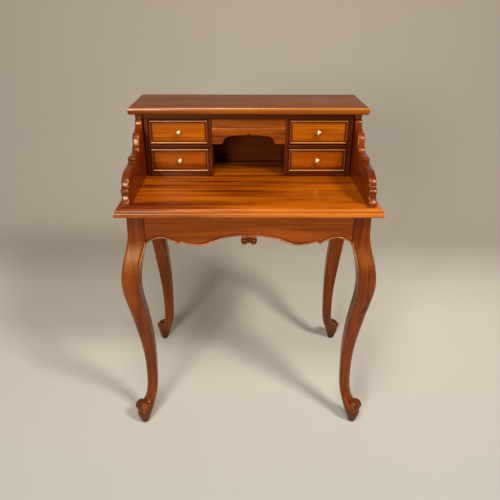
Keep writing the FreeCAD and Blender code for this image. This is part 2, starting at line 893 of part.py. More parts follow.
def writing_slab():
    """The desk top, drilled from below for its own screws and the gallery's, from above for the case's."""
    board = moulded_board("slab", slab_moulding, "desk_half", "desk_front", "desk_rear",
                          "desk_height", "slab_bottom")
    holes = [top_screw("slab_hole_" + name, side, end, HOLE) for name, side, end, turn in CORNERS]
    for side, sign in SIDES:
        holes += gallery_screws("slab_gallery_hole_" + side, sign, HOLE)
        holes.append(case_screw("slab_case_hole_" + side, sign, HOLE, False))
    piece(cut("slab_drilled", board, holes), "desk_top")


def gallery_shelf():
    """The moulded shelf that lies on the gallery sides and the case."""
    board = moulded_board("shelf", shelf_moulding, "shelf_half", "shelf_front", "shelf_rear",
                          "shelf_top", "shelf_bottom")
    holes = []
    for side, sign in SIDES:
        holes += dowels("shelf_dowel_hole_" + side, sign, HOLE)
        holes.append(case_screw("shelf_case_hole_" + side, sign, HOLE, True))
    piece(cut("shelf_drilled", board, holes), "gallery_shelf")


def gallery_outline():
    """Front and top outline of a gallery side in the upright plane, wood to the left of the walk."""

    def point(setback, fall, *bow):
        return (f"desk_front + {setback}", f"shelf_bottom - {fall}", *bow)

    return [
        ("gallery_rear", "desk_height"),
        ("gallery_rear", "shelf_bottom"),
        point("head_setback", "0"),
        point("head_setback", "head_drop", "-step_bow"),
        point("step_setback", "step_drop"),
        point("step_setback", "cove_top_drop", "cove_bow"),
        point("nose_setback", "nose_drop", "-chin_bow"),
        point("chin_setback", "chin_drop", "sweep_bow"),
        point("sweep_setback", "sweep_drop"),
        point("sweep_setback", "notch_drop", "-long_bow"),
        point("swell_setback", "swell_drop", "-roll_bow"),
        point("roll_setback", "roll_drop"),
        point("cusp_setback", "cusp_drop", "throat_bow"),
        point("throat_setback", "throat_drop", "-foot_bow"),
        point("foot_setback", "foot_drop"),
        ("desk_front + foot_setback", "desk_height"),
    ]


def gallery_sides():
    """The scrolled sides, grooved for the back panel."""
    body = new_body("gallery_board")
    sketch = outline(body, "YZ_Plane", "gallery_face", gallery_outline(), offset="gallery_inner")
    pad(body, sketch, "gallery_thickness", "gallery_pad")
    groove = box("gallery_groove", ("case_outer", "gallery_inner + back_panel_tongue + groove_clearance"),
                 ("back_panel_front - groove_clearance", "back_panel_rear + groove_clearance"),
                 ("desk_height", "shelf_bottom"))
    holes = dowels("gallery_dowel_hole", "1", HOLE) + gallery_screws("gallery_hole", "1", HOLE)
    right = piece(cut("gallery_right_board", body, [groove] + holes), "gallery_side_right")
    piece(mirrored("gallery_left_board", right), "gallery_side_left")


def back_panel():
    """The panel that closes the case behind, its edges in the grooves of the gallery sides."""
    half = "gallery_inner + back_panel_tongue"
    panel = box("back_board", (f"-({half})", half), ("back_panel_front", "back_panel_rear"),
                ("desk_height", "shelf_bottom"))
    piece(panel, "back_panel")


# ---------------------------------------------------------------- case of drawers


def housings(name, face, sign):
    """Grooves in an upright board for the rail board and the bottom board of one bay."""
    across = (face, f"{face} + housing_depth") if sign > 0 else (f"{face} - housing_depth", face)
    deep = ("case_front", "back_panel_front")
    rail = box(name + "_rail_housing", across, deep, ("lower_ceiling", "upper_floor"))
    bottom = box(name + "_bottom_housing", across, deep, ("desk_height", "lower_floor"))
    return [rail, bottom]


def case_boards():
    """Ends, dividers, drawer rails and bottoms of the two bays, and the top board over both."""
    deep = ("case_front", "back_panel_front")
    tall = ("desk_height", "upper_ceiling")
    end = box("case_end_board", ("case_inner", "case_outer"), deep, tall)
    divider = box("divider_board", ("divider_inner", "divider_outer"), deep, tall)
    between = ("divider_outer - housing_depth", "case_inner + housing_depth")
    rail = box("rail_board", between, deep, ("lower_ceiling", "upper_floor"))
    bottom = box("bottom_board", between, deep, ("desk_height", "lower_floor"))
    right = {
        "case_end": cut("case_end_housed", end, housings("end", "case_inner", 1)),
        "case_divider": cut("divider_housed", divider, housings("divider", "divider_outer", -1)),
        "drawer_rail": rail,
        "case_bottom": cut("bottom_drilled", bottom, [case_screw("bottom_hole", "1", HOLE, False)]),
    }
    for label, solid in right.items():
        piece(solid, label + "_right")
        piece(mirrored(label + "_mirrored", solid), label + "_left")
    top = box("top_board", ("-case_outer", "case_outer"), deep, ("upper_ceiling", "shelf_bottom"))
    holes = [case_screw("top_hole_" + side, sign, HOLE, True) for side, sign in SIDES]
    piece(cut("top_drilled", top, holes), "case_top")


def valance():
    """The shaped board over the pigeonhole: flat feet, a lobe, an arch and a pointed crown."""

    def point(side, rise, *bow):
        return (side, f"valance_foot + {rise}", *bow)

    half = [
        point("0", "crown_tip_rise", "-crown_tip_bow"),
        point("crown_side", "crown_rise", "crown_bow"),
        point("divider_inner - spandrel_inset", "spandrel_rise", "spandrel_bow"),
        point("divider_inner - lobe_inset", "lobe_rise", "-valance_lobe_bow"),
        point("divider_inner - valance_foot_width", "0"),
        point("divider_inner", "0"),
    ]
    corners = reflected(half)[:-1] + half
    corners += [("divider_inner", "upper_ceiling"), ("-divider_inner", "upper_ceiling")]
    body = new_body("valance_board")
    sketch = outline(body, "XZ_Plane", "valance_face", corners, offset="-(case_front + valance_thickness)")
    pad(body, sketch, "valance_thickness", "valance_pad")
    piece(body, "valance")


def drawer_stops():
    """Blocks on the boards behind the drawers, which stop them flush with the case."""
    blocks = []
    for side, sign in SIDES:
        for row, floor in ROWS:
            across = (f"{sign} * bay_middle - stop_width / 2", f"{sign} * bay_middle + stop_width / 2")
            deep = ("stop_front", "back_panel_front")
            blocks.append(box(f"stop_{row}_{side}", across, deep, (floor, f"{floor} + stop_height")))
    piece(group("stop_set", blocks), "drawer_stops")


# ---------------------------------------------------------------- drawers

ROWS = (("lower", "lower_floor"), ("upper", "upper_floor"))
KNOB_ANGLES = (-60, -20, 20, 60, 90)
FACE_TOLERANCE = 0.01


def cockbead_strip(name, length, turn, x, y, z):
    """One mitred strip of the bead, its outer edge up, rounded along its two front arrises."""
    half = f"({length}) / 2"
    corners = [(f"-{half}", "0"), (f"-{half} + cockbead_width", "-cockbead_width"),
               (f"{half} - cockbead_width", "-cockbead_width"), (half, "0")]
    body = new_body(name)
    strip = pad(body, outline(body, "XZ_Plane", name + "_face", corners), "cockbead_height", name + "_pad")
    doc.recompute()
    front = min(edge.CenterOfMass.y for edge in strip.Shape.Edges)
    long_edges = [
        f"Edge{number}" for number, edge in enumerate(strip.Shape.Edges, start=1)
        if edge.CenterOfMass.y < front + FACE_TOLERANCE
        and abs(edge.tangentAt(edge.FirstParameter).z) < FACE_TOLERANCE
    ]
    rounding = body.newObject("PartDesign::Fillet", name + "_round")
    rounding.Base = (strip, long_edges)
    room = "cockbead_width / 2 - groove_clearance; cockbead_height - groove_clearance"
    bind(rounding, Radius=f"min(cockbead_round; {room})")
    return place(body, x=x, y=y, z=z, axis=(0, 1, 0), turn=turn)


def cockbead(name, middle, floor):
    """The four mitred strips round one drawer front."""
    width = "bay_width - 2 * (drawer_reveal + cockbead_inset)"
    height = "drawer_opening_height - 2 * (drawer_reveal + cockbead_inset)"
    centre = f"{floor} + drawer_opening_height / 2"
    return group(name + "_strips", [
        cockbead_strip(name + "_top", width, 0, middle, "drawer_face", f"{centre} + ({height}) / 2"),
        cockbead_strip(name + "_right", height, 90, f"{middle} + ({width}) / 2", "drawer_face", centre),
        cockbead_strip(name + "_foot", width, 180, middle, "drawer_face", f"{centre} - ({height}) / 2"),
        cockbead_strip(name + "_left", height, 270, f"{middle} - ({width}) / 2", "drawer_face", centre),
    ])


def knob(name, middle, centre):
    """A turned brass knob: rose, neck and flattened ball, with the shank that screws into the front."""
    corners = [
        ("0", "-knob_shank_length"),
        ("knob_shank_radius", "-knob_shank_length"),
        ("knob_shank_radius", "0"),
        ("knob_rose_radius", "0"),
        ("knob_rose_radius", "knob_rose_thickness / 2"),
        ("knob_neck_radius", "knob_rose_thickness"),
    ]
    equator = "knob_projection - knob_thickness / 2"
    for angle in KNOB_ANGLES:
        height = f"{equator} + knob_thickness / 2 * sin({angle} deg)"
        corners.append((f"knob_radius * cos({angle} deg)", height))
    body = new_body(name)
    revolve(body, outline(body, "XZ_Plane", name + "_section", corners), name + "_turning")
    return place(body, x=middle, y="drawer_face", z=centre, axis=(1, 0, 0), turn=90)


def drawer(row, floor, side, sign):
    """One drawer: front with cockbead and knob, grooved sides, back, and a bottom slid in from behind."""
    name = f"drawer_{row}_{side}"
    middle = f"{sign} * bay_middle"
    half_bay = "bay_width / 2"
    outer = f"({half_bay} - drawer_side_gap)"
    inner = f"({half_bay} - drawer_side_gap - drawer_side_thickness)"
    low = f"{floor} + drawer_running_gap"
    bottom_low = f"{low} + drawer_bottom_raise"
    bottom_high = bottom_low + " + drawer_bottom_thickness"
    front_back = "drawer_face + drawer_front_thickness"
    groove = box(name + "_groove",
                 (f"{middle} - {inner} - drawer_groove_depth", f"{middle} + {inner} + drawer_groove_depth"),
                 (f"{front_back} - drawer_groove_depth", "drawer_rear"),
                 (f"{bottom_low} - groove_clearance", f"{bottom_high} + groove_clearance"))
    centre = f"{floor} + drawer_opening_height / 2"
    half_front = f"({half_bay} - drawer_reveal)"
    board = box(name + "_front_board", (f"{middle} - {half_front}", f"{middle} + {half_front}"),
                ("drawer_face", front_back),
                (f"{floor} + drawer_reveal", f"{floor} + drawer_opening_height - drawer_reveal"))
    shank_hole = bar(name + "_shank_hole", "knob_shank_radius + screw_clearance",
                     "knob_shank_length + screw_clearance", (middle, "drawer_face", centre), (0, 1, 0))
    piece(cut(name + "_front_cut", board, [groove, shank_hole]), name + "_front")
    piece(cockbead(name + "_bead", middle, floor), name + "_cockbead")
    piece(knob(name + "_turned_knob", middle, centre), name + "_knob")
    left_span = (f"{middle} - {outer}", f"{middle} - {inner}")
    right_span = (f"{middle} + {inner}", f"{middle} + {outer}")
    for hand, span in (("left", left_span), ("right", right_span)):
        blank = box(f"{name}_{hand}_blank", span, (front_back, "drawer_rear"),
                    (low, f"{low} + drawer_side_height"))
        piece(cut(f"{name}_{hand}_cut", blank, [groove]), f"{name}_side_{hand}")
    back = box(name + "_back_board", (f"{middle} - {inner}", f"{middle} + {inner}"),
               ("drawer_rear - drawer_back_thickness", "drawer_rear"),
               (f"{bottom_high} + groove_clearance", f"{low} + drawer_side_height"))
    piece(back, name + "_back")
    reach = f"{inner} + drawer_groove_depth - groove_clearance"
    bottom = box(name + "_bottom_board", (f"{middle} - ({reach})", f"{middle} + {reach}"),
                 (f"{front_back} - drawer_groove_depth + groove_clearance", "drawer_rear"),
                 (bottom_low, bottom_high))
    piece(bottom, name + "_bottom")


# ---------------------------------------------------------------- the whole desk


def make_desk():
    """Every sub-part of the desk."""
    for name, side, end, turn in CORNERS:
        leg("leg_" + name, side, end, turn)
    aprons()
    corner_blocks()
    writing_slab()
    gallery_sides()
    gallery_shelf()
    back_panel()
    case_boards()
    valance()
    drawer_stops()
    for row, floor in ROWS:
        for side, sign in SIDES:
            drawer(row, floor, side, sign)
    fastenings()
    doc.recompute()


def check_and_export():
    """Stop on any failed object or bad shape, then write each sub-part to its own STEP file."""
    for item in doc.Objects:
        if "Invalid" in item.State or "Error" in item.State:
            raise RuntimeError(f"{item.Name} failed: {item.State}")
    for item in PIECES:
        if item.Shape.isNull() or not item.Shape.isValid() or not item.Shape.Solids:
            raise RuntimeError(item.Label + " has no valid solid")
    for item in PIECES:
        item.Shape.exportStep(f"parts/{item.Label}.step")
    print(len(PIECES), "sub-parts written")


make_desk()
check_and_export()
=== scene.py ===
"""Bonheur du jour: the mouldings, carving, turning and finishes of a small writing desk.

Metres. +Z is up, the front faces -Y and +X is to the viewer's right. Every piece is fitted to the
construction model, whose pieces are named nodes: a new piece takes its place from their boxes.
"""

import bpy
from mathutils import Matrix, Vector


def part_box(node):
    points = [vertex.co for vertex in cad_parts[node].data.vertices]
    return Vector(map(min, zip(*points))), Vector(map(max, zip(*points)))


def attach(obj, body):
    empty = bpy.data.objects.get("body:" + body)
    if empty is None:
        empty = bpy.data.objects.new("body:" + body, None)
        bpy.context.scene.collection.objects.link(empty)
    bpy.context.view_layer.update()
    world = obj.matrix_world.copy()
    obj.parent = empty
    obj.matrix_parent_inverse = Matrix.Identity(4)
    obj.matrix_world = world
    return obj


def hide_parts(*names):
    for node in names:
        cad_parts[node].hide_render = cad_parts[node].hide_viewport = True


bl_info = {
    "name": "Bonheur du jour",
    "version": (1, 0, 0),
    "blender": (4, 5, 0),
    "location": "3D View > Sidebar > Desk",
    "description": "Shapes and finishes a small mahogany writing desk round its construction model",
    "category": "Add Mesh",
}

import math

import bmesh
import bpy
import numpy as np
from bpy.props import FloatProperty, FloatVectorProperty, PointerProperty
from mathutils import Matrix, Vector

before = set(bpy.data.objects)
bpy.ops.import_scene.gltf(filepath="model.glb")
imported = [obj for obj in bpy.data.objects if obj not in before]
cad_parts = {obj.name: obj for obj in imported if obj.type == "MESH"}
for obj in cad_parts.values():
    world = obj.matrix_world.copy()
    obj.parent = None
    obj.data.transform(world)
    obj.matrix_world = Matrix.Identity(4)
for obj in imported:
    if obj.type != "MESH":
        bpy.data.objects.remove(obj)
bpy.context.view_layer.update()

MM = 0.001
DESK = "desk"
SIDES = {"left": -1, "right": 1}
ENDS = {"front": -1, "rear": 1}
# The lower row of drawer fronts is tinted darker than the upper: painted shade.
ROW_SHADE_TINTS = {"lower": (0.74, 0.64, 0.66), "upper": (1.0, 1.0, 1.0)}
UP = (0, 0, 1)
# The axes to the right, up and out on the desk's front.
FACING = ((1, 0, 0), UP, (0, -1, 0))
SMOOTH_ANGLE = math.radians(32)
MERGE_DISTANCE = 2e-6
DISPLAY_WHITE = 255
DISPLAY_GAMMA = 2.2

# Sizes that the boxes of the nodes don't give.
LEG_SQUARE = 46 * MM
SIDE_OVERHANG = 26.75 * MM
FRONT_OVERHANG = 28 * MM
REAR_OVERHANG = 5.5 * MM
APRON_THICKNESS = 20 * MM
APRON_SETBACK = 3 * MM
TENON_LENGTH = 18 * MM


# ---- Settings


def length(name, description, millimetres):
    """A length that a user can change, in the scene's unit."""
    return FloatProperty(name=name, description=description, default=millimetres * MM, unit="LENGTH",
                         precision=4)


def fraction(name, description, default):
    """A share between 0 and 1 that a user can change."""
    return FloatProperty(name=name, description=description, default=default, min=0, max=1, subtype="FACTOR")


def display_to_linear(values):
    """Linear light from display values: divided by white and raised to the display's power."""
    return tuple((value / DISPLAY_WHITE) ** DISPLAY_GAMMA for value in values)


def paint(name, description, red, green, blue):
    """A colour that a user can change, given by its display values."""
    return FloatVectorProperty(name=name, description=description, subtype="COLOR", min=0, max=1,
                               default=display_to_linear((red, green, blue)))


class DeskShapes(bpy.types.PropertyGroup):
    """Sizes of the mouldings and carving."""

    bead_width: length("Apron bead width", "Width of the bead along the lower edge of an apron", 4.8)
    bead_relief: length("Apron bead relief", "How far the apron bead stands proud of the face", 2.6)
    arris: length("Arris", "Radius that eases the sharp edges of plain boards", 0.7)
    gallery_round: length("Gallery edge round", "Radius along the outline of the gallery sides", 4.5)
    cove_width: length("Drawer cove width", "Width of the cove inside the bead of a drawer front", 10)
    cove_depth: length("Drawer cove depth", "Depth of the cove inside the bead of a drawer front", 2.6)
    valance_relief: length("Valance relief", "How far the carved border of the valance stands proud", 1.6)
    volute_band: length("Volute band", "Half width of the carved band of a volute where it starts", 2.7)


class DeskFinishes(bpy.types.PropertyGroup):
    """Colours and gloss of the finishes."""

    top: paint("Writing surface", "Mahogany of the writing slab", 163, 77, 9)
    shelf: paint("Shelf", "Mahogany of the shelf", 126, 60, 12)
    front: paint("Drawer fronts", "Mahogany of the drawer fronts", 150, 72, 8)
    bead: paint("Drawer beads", "Stained beads round the drawer fronts", 104, 44, 26)
    case: paint("Case", "Stained boards of the case", 78, 28, 14)
    valance: paint("Valance", "Mahogany of the valance", 136, 62, 8)
    gallery: paint("Gallery sides", "Mahogany of the gallery sides", 112, 42, 6)
    apron: paint("Aprons", "Mahogany of the aprons", 136, 61, 12)
    leg: paint("Legs", "Mahogany of the legs", 116, 48, 10)
    lining: paint("Drawer lining", "Pale wood of the drawer sides and bottoms", 196, 150, 98)
    brass: paint("Brass", "Polished brass of the knobs", 246, 208, 146)
    steel: paint("Steel", "Bright steel of the screws", 170, 168, 162)
    back: paint("Back panel", "Stained panel behind the case", 88, 36, 16)
    backdrop: paint("Floor", "Backdrop paper near the camera", 196, 189, 175)
    # A brighter band of painted light on the paper behind the desk.
    painted_light_band: paint("Horizon", "Backdrop paper just behind the desk", 232, 220, 200)
    distance: paint("Backdrop", "Backdrop paper on the wall", 208, 193, 174)
    # The colour of the painted highlight on crowns, beads and edges.
    painted_sheen: paint("Rubbed crowns", "Mahogany where the stain has worn thin", 216, 140, 64)
    glow: paint("Lacquer glow", "Tint of what the lacquer reflects", 255, 196, 120)
    lacquer: fraction("Lacquer", "Weight of the lacquer coat over the stain", 0.22)
    dulling: fraction("Dulling", "Roughness of the lacquer coat", 0.16)


# ---- Outlines in a plane


def arc(start, end, bow, count):
    """A circular arc over a chord, bowed to its left by bow, without its last point.

    The circle through both ends and the crown of the bow is walked by equal angles.
    """
    start, end = np.array(start, float), np.array(end, float)
    if bow == 0:
        return start[None, :]
    chord = end - start
    reach = np.hypot(*chord)
    radius = (reach ** 2 / 4 + bow ** 2) / (2 * bow)
    left = np.array((-chord[1], chord[0])) / reach
    centre = (start + end) / 2 + left * (bow - radius)
    sweep = -2 * math.asin(min(1, reach / (2 * abs(radius)))) * math.copysign(1, bow)
    angles = np.linspace(0, sweep, count, endpoint=False)[:, None]
    spoke = start - centre
    return centre + spoke * np.cos(angles) + np.array((-spoke[1], spoke[0])) * np.sin(angles)


def bowed_path(corners, count=12, closed=False):
    """Points through (x, y, bow) corners: a straight side where bow is 0, an arc elsewhere."""
    following = corners[1:] + corners[:1]
    runs = [arc(start[:2], end[:2], start[2], count) for start, end in zip(corners, following)]
    if not closed:
        runs[-1] = np.array([corners[-1][:2]], float)
    return np.concatenate(runs)


def filled(path, spacing):
    """A path whose steps are each divided evenly: as often as the spacing goes in, and at least in two."""
    steps = np.diff(path, axis=0)
    counts = np.maximum(2, (np.hypot(*steps.T) / spacing).astype(int))
    first = np.repeat(np.cumsum(counts) - counts, counts)
    part = (np.arange(counts.sum()) - first) / np.repeat(counts, counts)
    added = np.repeat(path[:-1], counts, axis=0) + np.repeat(steps, counts, axis=0) * part[:, None]
    return np.concatenate([added, path[-1:]])


def ellipse(centre, radii, first, last, count=9):
    """Part of an ellipse: its centre plus the radii times the cosine and sine of an angle in degrees."""
    angles = np.radians(np.linspace(first, last, count))
    return np.array(centre) + np.array(radii) * np.stack([np.cos(angles), np.sin(angles)], axis=1)


def spline(knots, values, places):
    """A natural cubic spline through values at the knots, read at the places.

    The second derivatives solve the usual tridiagonal system, with none at either end.
    """
    knots, values = np.array(knots, float), np.array(values, float).T
    steps = np.diff(knots)
    system, bends = np.eye(len(knots)), np.zeros_like(values)
    inner = np.arange(1, len(knots) - 1)
    system[inner, inner - 1] = steps[:-1]
    system[inner, inner] = 2 * (steps[:-1] + steps[1:])
    system[inner, inner + 1] = steps[1:]
    bends[..., inner] = 6 * np.diff(np.diff(values) / steps)
    second = np.linalg.solve(system, bends.T).T
    index = np.clip(np.searchsorted(knots, places) - 1, 0, len(steps) - 1)
    step = steps[index]
    after = places - knots[index]
    before = step - after
    bend = (second[..., index] * before ** 3 + second[..., index + 1] * after ** 3) / (6 * step)
    start = (values[..., index] / step - second[..., index] * step / 6) * before
    end = (values[..., index + 1] / step - second[..., index + 1] * step / 6) * after
    return (bend + start + end).T


def smooth_step(share):
    """A share kept between 0 and 1 that starts and ends level: three of its squares less two of its cubes."""
    share = np.clip(share, 0, 1)
    return share ** 2 * (3 - 2 * share)


def curve_through(points, count):
    """A smooth curve through the points: a cubic spline over the length of their chords."""
    points = np.array(points, float)
    along = np.concatenate([[0], np.cumsum(np.hypot(*np.diff(points, axis=0).T))])
    return spline(along, points, np.linspace(0, along[-1], count))


def unit(vectors):
    """Vectors divided by their lengths."""
    return vectors / np.linalg.norm(vectors, axis=-1, keepdims=True)


def left_normals(directions):
    """Unit vectors to the left of directions: each is turned by a quarter turn."""
    return unit(np.stack([-directions[:, 1], directions[:, 0]], axis=1))


def blurred(normals, reach):
    """Normals averaged with their neighbours within the reach, weighted by a bell."""
    window = np.hanning(2 * reach + 3)[1:-1]
    padded = np.pad(normals, ((reach, reach), (0, 0)), mode="edge")
    return unit(np.stack([np.convolve(part, window, mode="valid") for part in padded.T], axis=1))


# ---- Surfaces

SPIRAL_STEPS = 90
SPIRAL_TAPER = 0.45
# How strongly a band's crown gets a painted highlight and its sides painted shade.
SPIRAL_SHADE_AND_HIGHLIGHT = 1.35
BOARD_EASE_STEPS = 3


def placed(points, origin, right, up, out):
    """Local points carried to the desk: the origin plus each coordinate times its own axis."""
    return np.array(origin) + np.asarray(points) @ np.array([right, up, out], float)


class Surface:
    """Points, faces and the shade at each point, mostly painted shade and painted highlight, grown patch by
    patch.

    A place is the origin and the axes to the right, up and out that a patch is carried to.
    """

    def __init__(self):
        self.points, self.faces, self.shades, self.count = [], [], [], 0

    def grid(self, points, rows_close=False, tube=False, shade=0.0):
        """Add a grid of points. Its rows can close; a tube's columns do, and its ends are capped."""
        rows, columns = points.shape[:2]
        row = np.arange(rows if rows_close else rows - 1)[:, None]
        column = np.arange(columns if tube else columns - 1)[None, :]
        next_row, next_column = (row + 1) % rows, (column + 1) % columns
        corners = ((row, column), (row, next_column), (next_row, next_column), (next_row, column))
        faces = np.stack([first * columns + second for first, second in corners], axis=-1)
        self.faces += (faces.reshape(-1, 4) + self.count).tolist()
        if tube:
            end = np.arange(columns) + self.count
            self.faces += [end.tolist(), (end + (rows - 1) * columns).tolist()]
        self.points.append(points.reshape(-1, 3))
        self.shades.append(np.broadcast_to(shade, (rows, columns)).ravel())
        self.count += rows * columns
        return self

    def turned(self, profile, place, count, shade=0.0):
        """Add a turned piece: each (radius, height) of the profile goes round the axis that points out."""
        angles = np.linspace(0, 2 * math.pi, count, endpoint=False)[:, None]
        radius, height = np.array(profile).T
        rounds = np.stack([radius * np.cos(angles), radius * np.sin(angles), height + 0 * angles], axis=-1)
        return self.grid(placed(rounds, *place), rows_close=True, shade=shade)

    def dome(self, place, radius, height, shade=0.0):
        """Add a half ball, whose closed foot is sunk by a millimetre."""
        crown = ellipse((0, -MM), (radius, height), 0, 90)
        self.turned(np.concatenate([[(0, -MM)], crown]), place, 24, shade)

    def spiral(self, place, outer, inner, turns, start, half_width, relief, shade_deepen=0.0):
        """Add a carved band along a spiral: a half ellipse carried along it, narrower towards the eye.

        The radius falls evenly from outer to inner, and the angle grows from start by the turns. The crown
        gets a painted highlight and the sides painted shade, deepened towards the inner end by the last
        argument.
        """
        share = np.linspace(0, 1, SPIRAL_STEPS)[:, None]
        angle = start + 2 * math.pi * turns * share
        size = 1 - SPIRAL_TAPER * share
        section = np.radians(np.linspace(0, 180, 11))[None, :]
        reach = outer + (inner - outer) * share + half_width * size * np.cos(section)
        rise = relief * size * np.sin(section)
        band = np.stack([reach * np.cos(angle), reach * np.sin(angle), rise], axis=-1)
        shade = 1 - SPIRAL_SHADE_AND_HIGHLIGHT * np.sin(section) + shade_deepen * share
        self.grid(placed(band, *place), tube=True, shade=shade)



def rings(low, high, profile, far_held=False):
    """Rectangular rings, one per (inset, level, ...) of a profile; a held far side doesn't move in."""
    inset, level = profile[:, :2].T
    left, right = low[0] + inset, high[0] - inset
    near, far = low[1] + inset, high[1] - inset * (not far_held)
    corners = [(left, near), (right, near), (right, far), (left, far)]
    return np.stack([np.stack([x, y, level], axis=-1) for x, y in corners], axis=1)


def rounded_board(low, high, radius):
    """A board with eased edges: a box's skin is drawn in to its core and pushed out by the radius."""
    low, high = np.array(low, float), np.array(high, float)
    centre, half = (low + high) / 2, (high - low) / 2
    radius = min(radius, *(0.45 * half))
    swing = np.tan(np.radians(np.linspace(-45, 45, 2 * BOARD_EASE_STEPS + 1)))
    ease = radius * (1 + swing) / 2
    surface = Surface()
    for axis in range(3):
        first, second = [k for k in range(3) if k != axis]
        marks = [np.concatenate([-half[k] + ease, half[k] - ease[::-1]]) for k in (first, second)]
        for side in (-1, 1):
            skin = np.zeros((len(marks[0]), len(marks[1]), 3))
            skin[..., first], skin[..., second] = np.meshgrid(*marks, indexing="ij")
            skin[..., axis] = side * half[axis]
            core = np.clip(skin, -(half - radius), half - radius)
            surface.grid(centre + core + radius * unit(skin - core))
    return surface


def linked(name, data):
    """A new object in the scene."""
    thing = bpy.data.objects.new(name, data)
    bpy.context.scene.collection.objects.link(thing)
    return thing


def build(name, surface, material, node, body=DESK):
    """Make a piece of the desk in place of a node: merged, closed, shaded, and riding on its body."""
    mesh = bpy.data.meshes.new(name)
    mesh.from_pydata(np.concatenate(surface.points).tolist(), [], surface.faces)
    shade = mesh.attributes.new("shade", "FLOAT", "POINT")
    shade.data.foreach_set("value", np.concatenate(surface.shades).astype(np.float32))
    work = bmesh.new()
    work.from_mesh(mesh)
    bmesh.ops.remove_doubles(work, verts=work.verts, dist=MERGE_DISTANCE)
    bmesh.ops.recalc_face_normals(work, faces=work.faces)
    work.to_mesh(mesh)
    work.free()
    mesh.shade_smooth()
    mesh.set_sharp_from_angle(angle=SMOOTH_ANGLE)
    mesh.materials.append(material)
    piece = linked(name, mesh)
    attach(piece, body)
    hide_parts(node)


def dress(nodes, material):
    """Give construction pieces whose shape is right their finish."""
    for node in nodes:
        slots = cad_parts[node].data.materials
        slots.clear()
        slots.append(material)


# ---- Materials


class Number:
    """A number that varies over a surface. Sums, differences and products of it add Math nodes."""

    def __init__(self, recipe, socket):
        self.recipe, self.socket = recipe, socket

    def combined(self, operation, first, second):
        node = self.recipe.node("ShaderNodeMath", {"operation": operation}, {0: first, 1: second})
        return Number(self.recipe, node.outputs[0])

    def __add__(self, other):
        return self.combined("ADD", self, other)

    def __radd__(self, other):
        return self.combined("ADD", other, self)

    def __sub__(self, other):
        return self.combined("SUBTRACT", self, other)

    def __mul__(self, other):
        return self.combined("MULTIPLY", self, other)


class Recipe:
    """A material in the making. One method adds any node, and the others are its common uses."""

    def __init__(self, name):
        self.material = bpy.data.materials.new(name)
        self.material.use_nodes = True
        self.tree = self.material.node_tree
        self.shader = self.tree.nodes["Principled BSDF"]

    def node(self, kind, settings=(), sockets=()):
        """Add a node: its settings first, then the values or links of its sockets."""
        node = self.tree.nodes.new(kind)
        for key, setting in dict(settings).items():
            if key == "stops":
                self.set_stops(node.color_ramp.elements, setting)
            else:
                setattr(node, key, setting)
        for key, given in dict(sockets).items():
            self.feed(node.inputs[key], given)
        return node

    def set_stops(self, elements, stops):
        """Colours of a ramp, each with its place."""
        while len(elements) < len(stops):
            elements.new(1)
        for element, (place, colour) in zip(elements, stops):
            element.position = place
            element.color = (*colour, 1)

    def feed(self, socket, given):
        """Link a socket to a number or another socket, or set its value."""
        source = getattr(given, "socket", given)
        if isinstance(source, bpy.types.NodeSocket):
            self.tree.links.new(source, socket)
        else:
            socket.default_value = source

    def place(self, order=(0, 1, 2)):
        """The three coordinates of a point on the desk, in an order of the axes."""
        coordinates = self.node("ShaderNodeTexCoord").outputs["Object"]
        split = self.node("ShaderNodeSeparateXYZ", {}, {0: coordinates})
        return [Number(self, split.outputs[axis]) for axis in order]

    def noise(self, place, along, across, detail=3, shift=0.0):
        """Noise with its own scale along the first coordinate and another across it."""
        parts = [part * scale + shift for part, scale in zip(place, (along, across, across))]
        vector = self.node("ShaderNodeCombineXYZ", {}, dict(enumerate(parts))).outputs[0]
        sockets = {"Vector": vector, "Scale": 1.0, "Detail": detail, "Roughness": NOISE_ROUGHNESS}
        return Number(self, self.node("ShaderNodeTexNoise", {}, sockets).outputs["Fac"])

    def rise(self, number, low, high):
        """A smooth step: 0 below low and 1 above high."""
        sockets = {"Value": number, "From Min": low, "From Max": high}
        node = self.node("ShaderNodeMapRange", {"interpolation_type": "SMOOTHSTEP"}, sockets)
        return Number(self, node.outputs["Result"])

    def ramp(self, number, stops):
        """A colour that runs through the stops as the number goes from 0 to 1."""
        return self.node("ShaderNodeValToRGB", {"stops": stops}, {"Fac": number}).outputs["Color"]

    def mix(self, factor, first, second, blend="MIX"):
        """The first colour, turning into the second with the factor."""
        colours = [(*colour, 1) if isinstance(colour, tuple) else colour for colour in (first, second)]
        settings = {"data_type": "RGBA", "blend_type": blend}
        return self.node("ShaderNodeMix", settings, {0: factor, 6: colours[0], 7: colours[1]}).outputs[2]

    def shade(self):
        """What a piece carries at each point: up to 1 darker, mostly painted shade in hollows and creases and
        in places a real stain, toner, joint or end grain; down to -1 a painted highlight on a crown.
        """
        return Number(self, self.node("ShaderNodeAttribute", {"attribute_name": "shade"}).outputs["Fac"])

    def finish(self, height, strength, distance, **sockets):
        """Feed the shader's sockets, named with underscores for spaces, and add fine relief from a height."""
        for key, given in sockets.items():
            self.feed(self.shader.inputs[key.replace("_", " ")], given)
        relief = {"Height": height, "Strength": strength, "Distance": distance}
        self.feed(self.shader.inputs["Normal"], self.node("ShaderNodeBump", {}, relief).outputs[0])
        return self.material


NOISE_ROUGHNESS = 0.55
GRAIN_ORDER = {"X": (0, 1, 2), "Y": (1, 0, 2), "Z": (2, 0, 1)}
DEEP_TINT = (0.30, 0.17, 0.10)
DARK_TINT = (0.58, 0.42, 0.30)
PALE_TINT = (1.25, 1.38, 1.50)
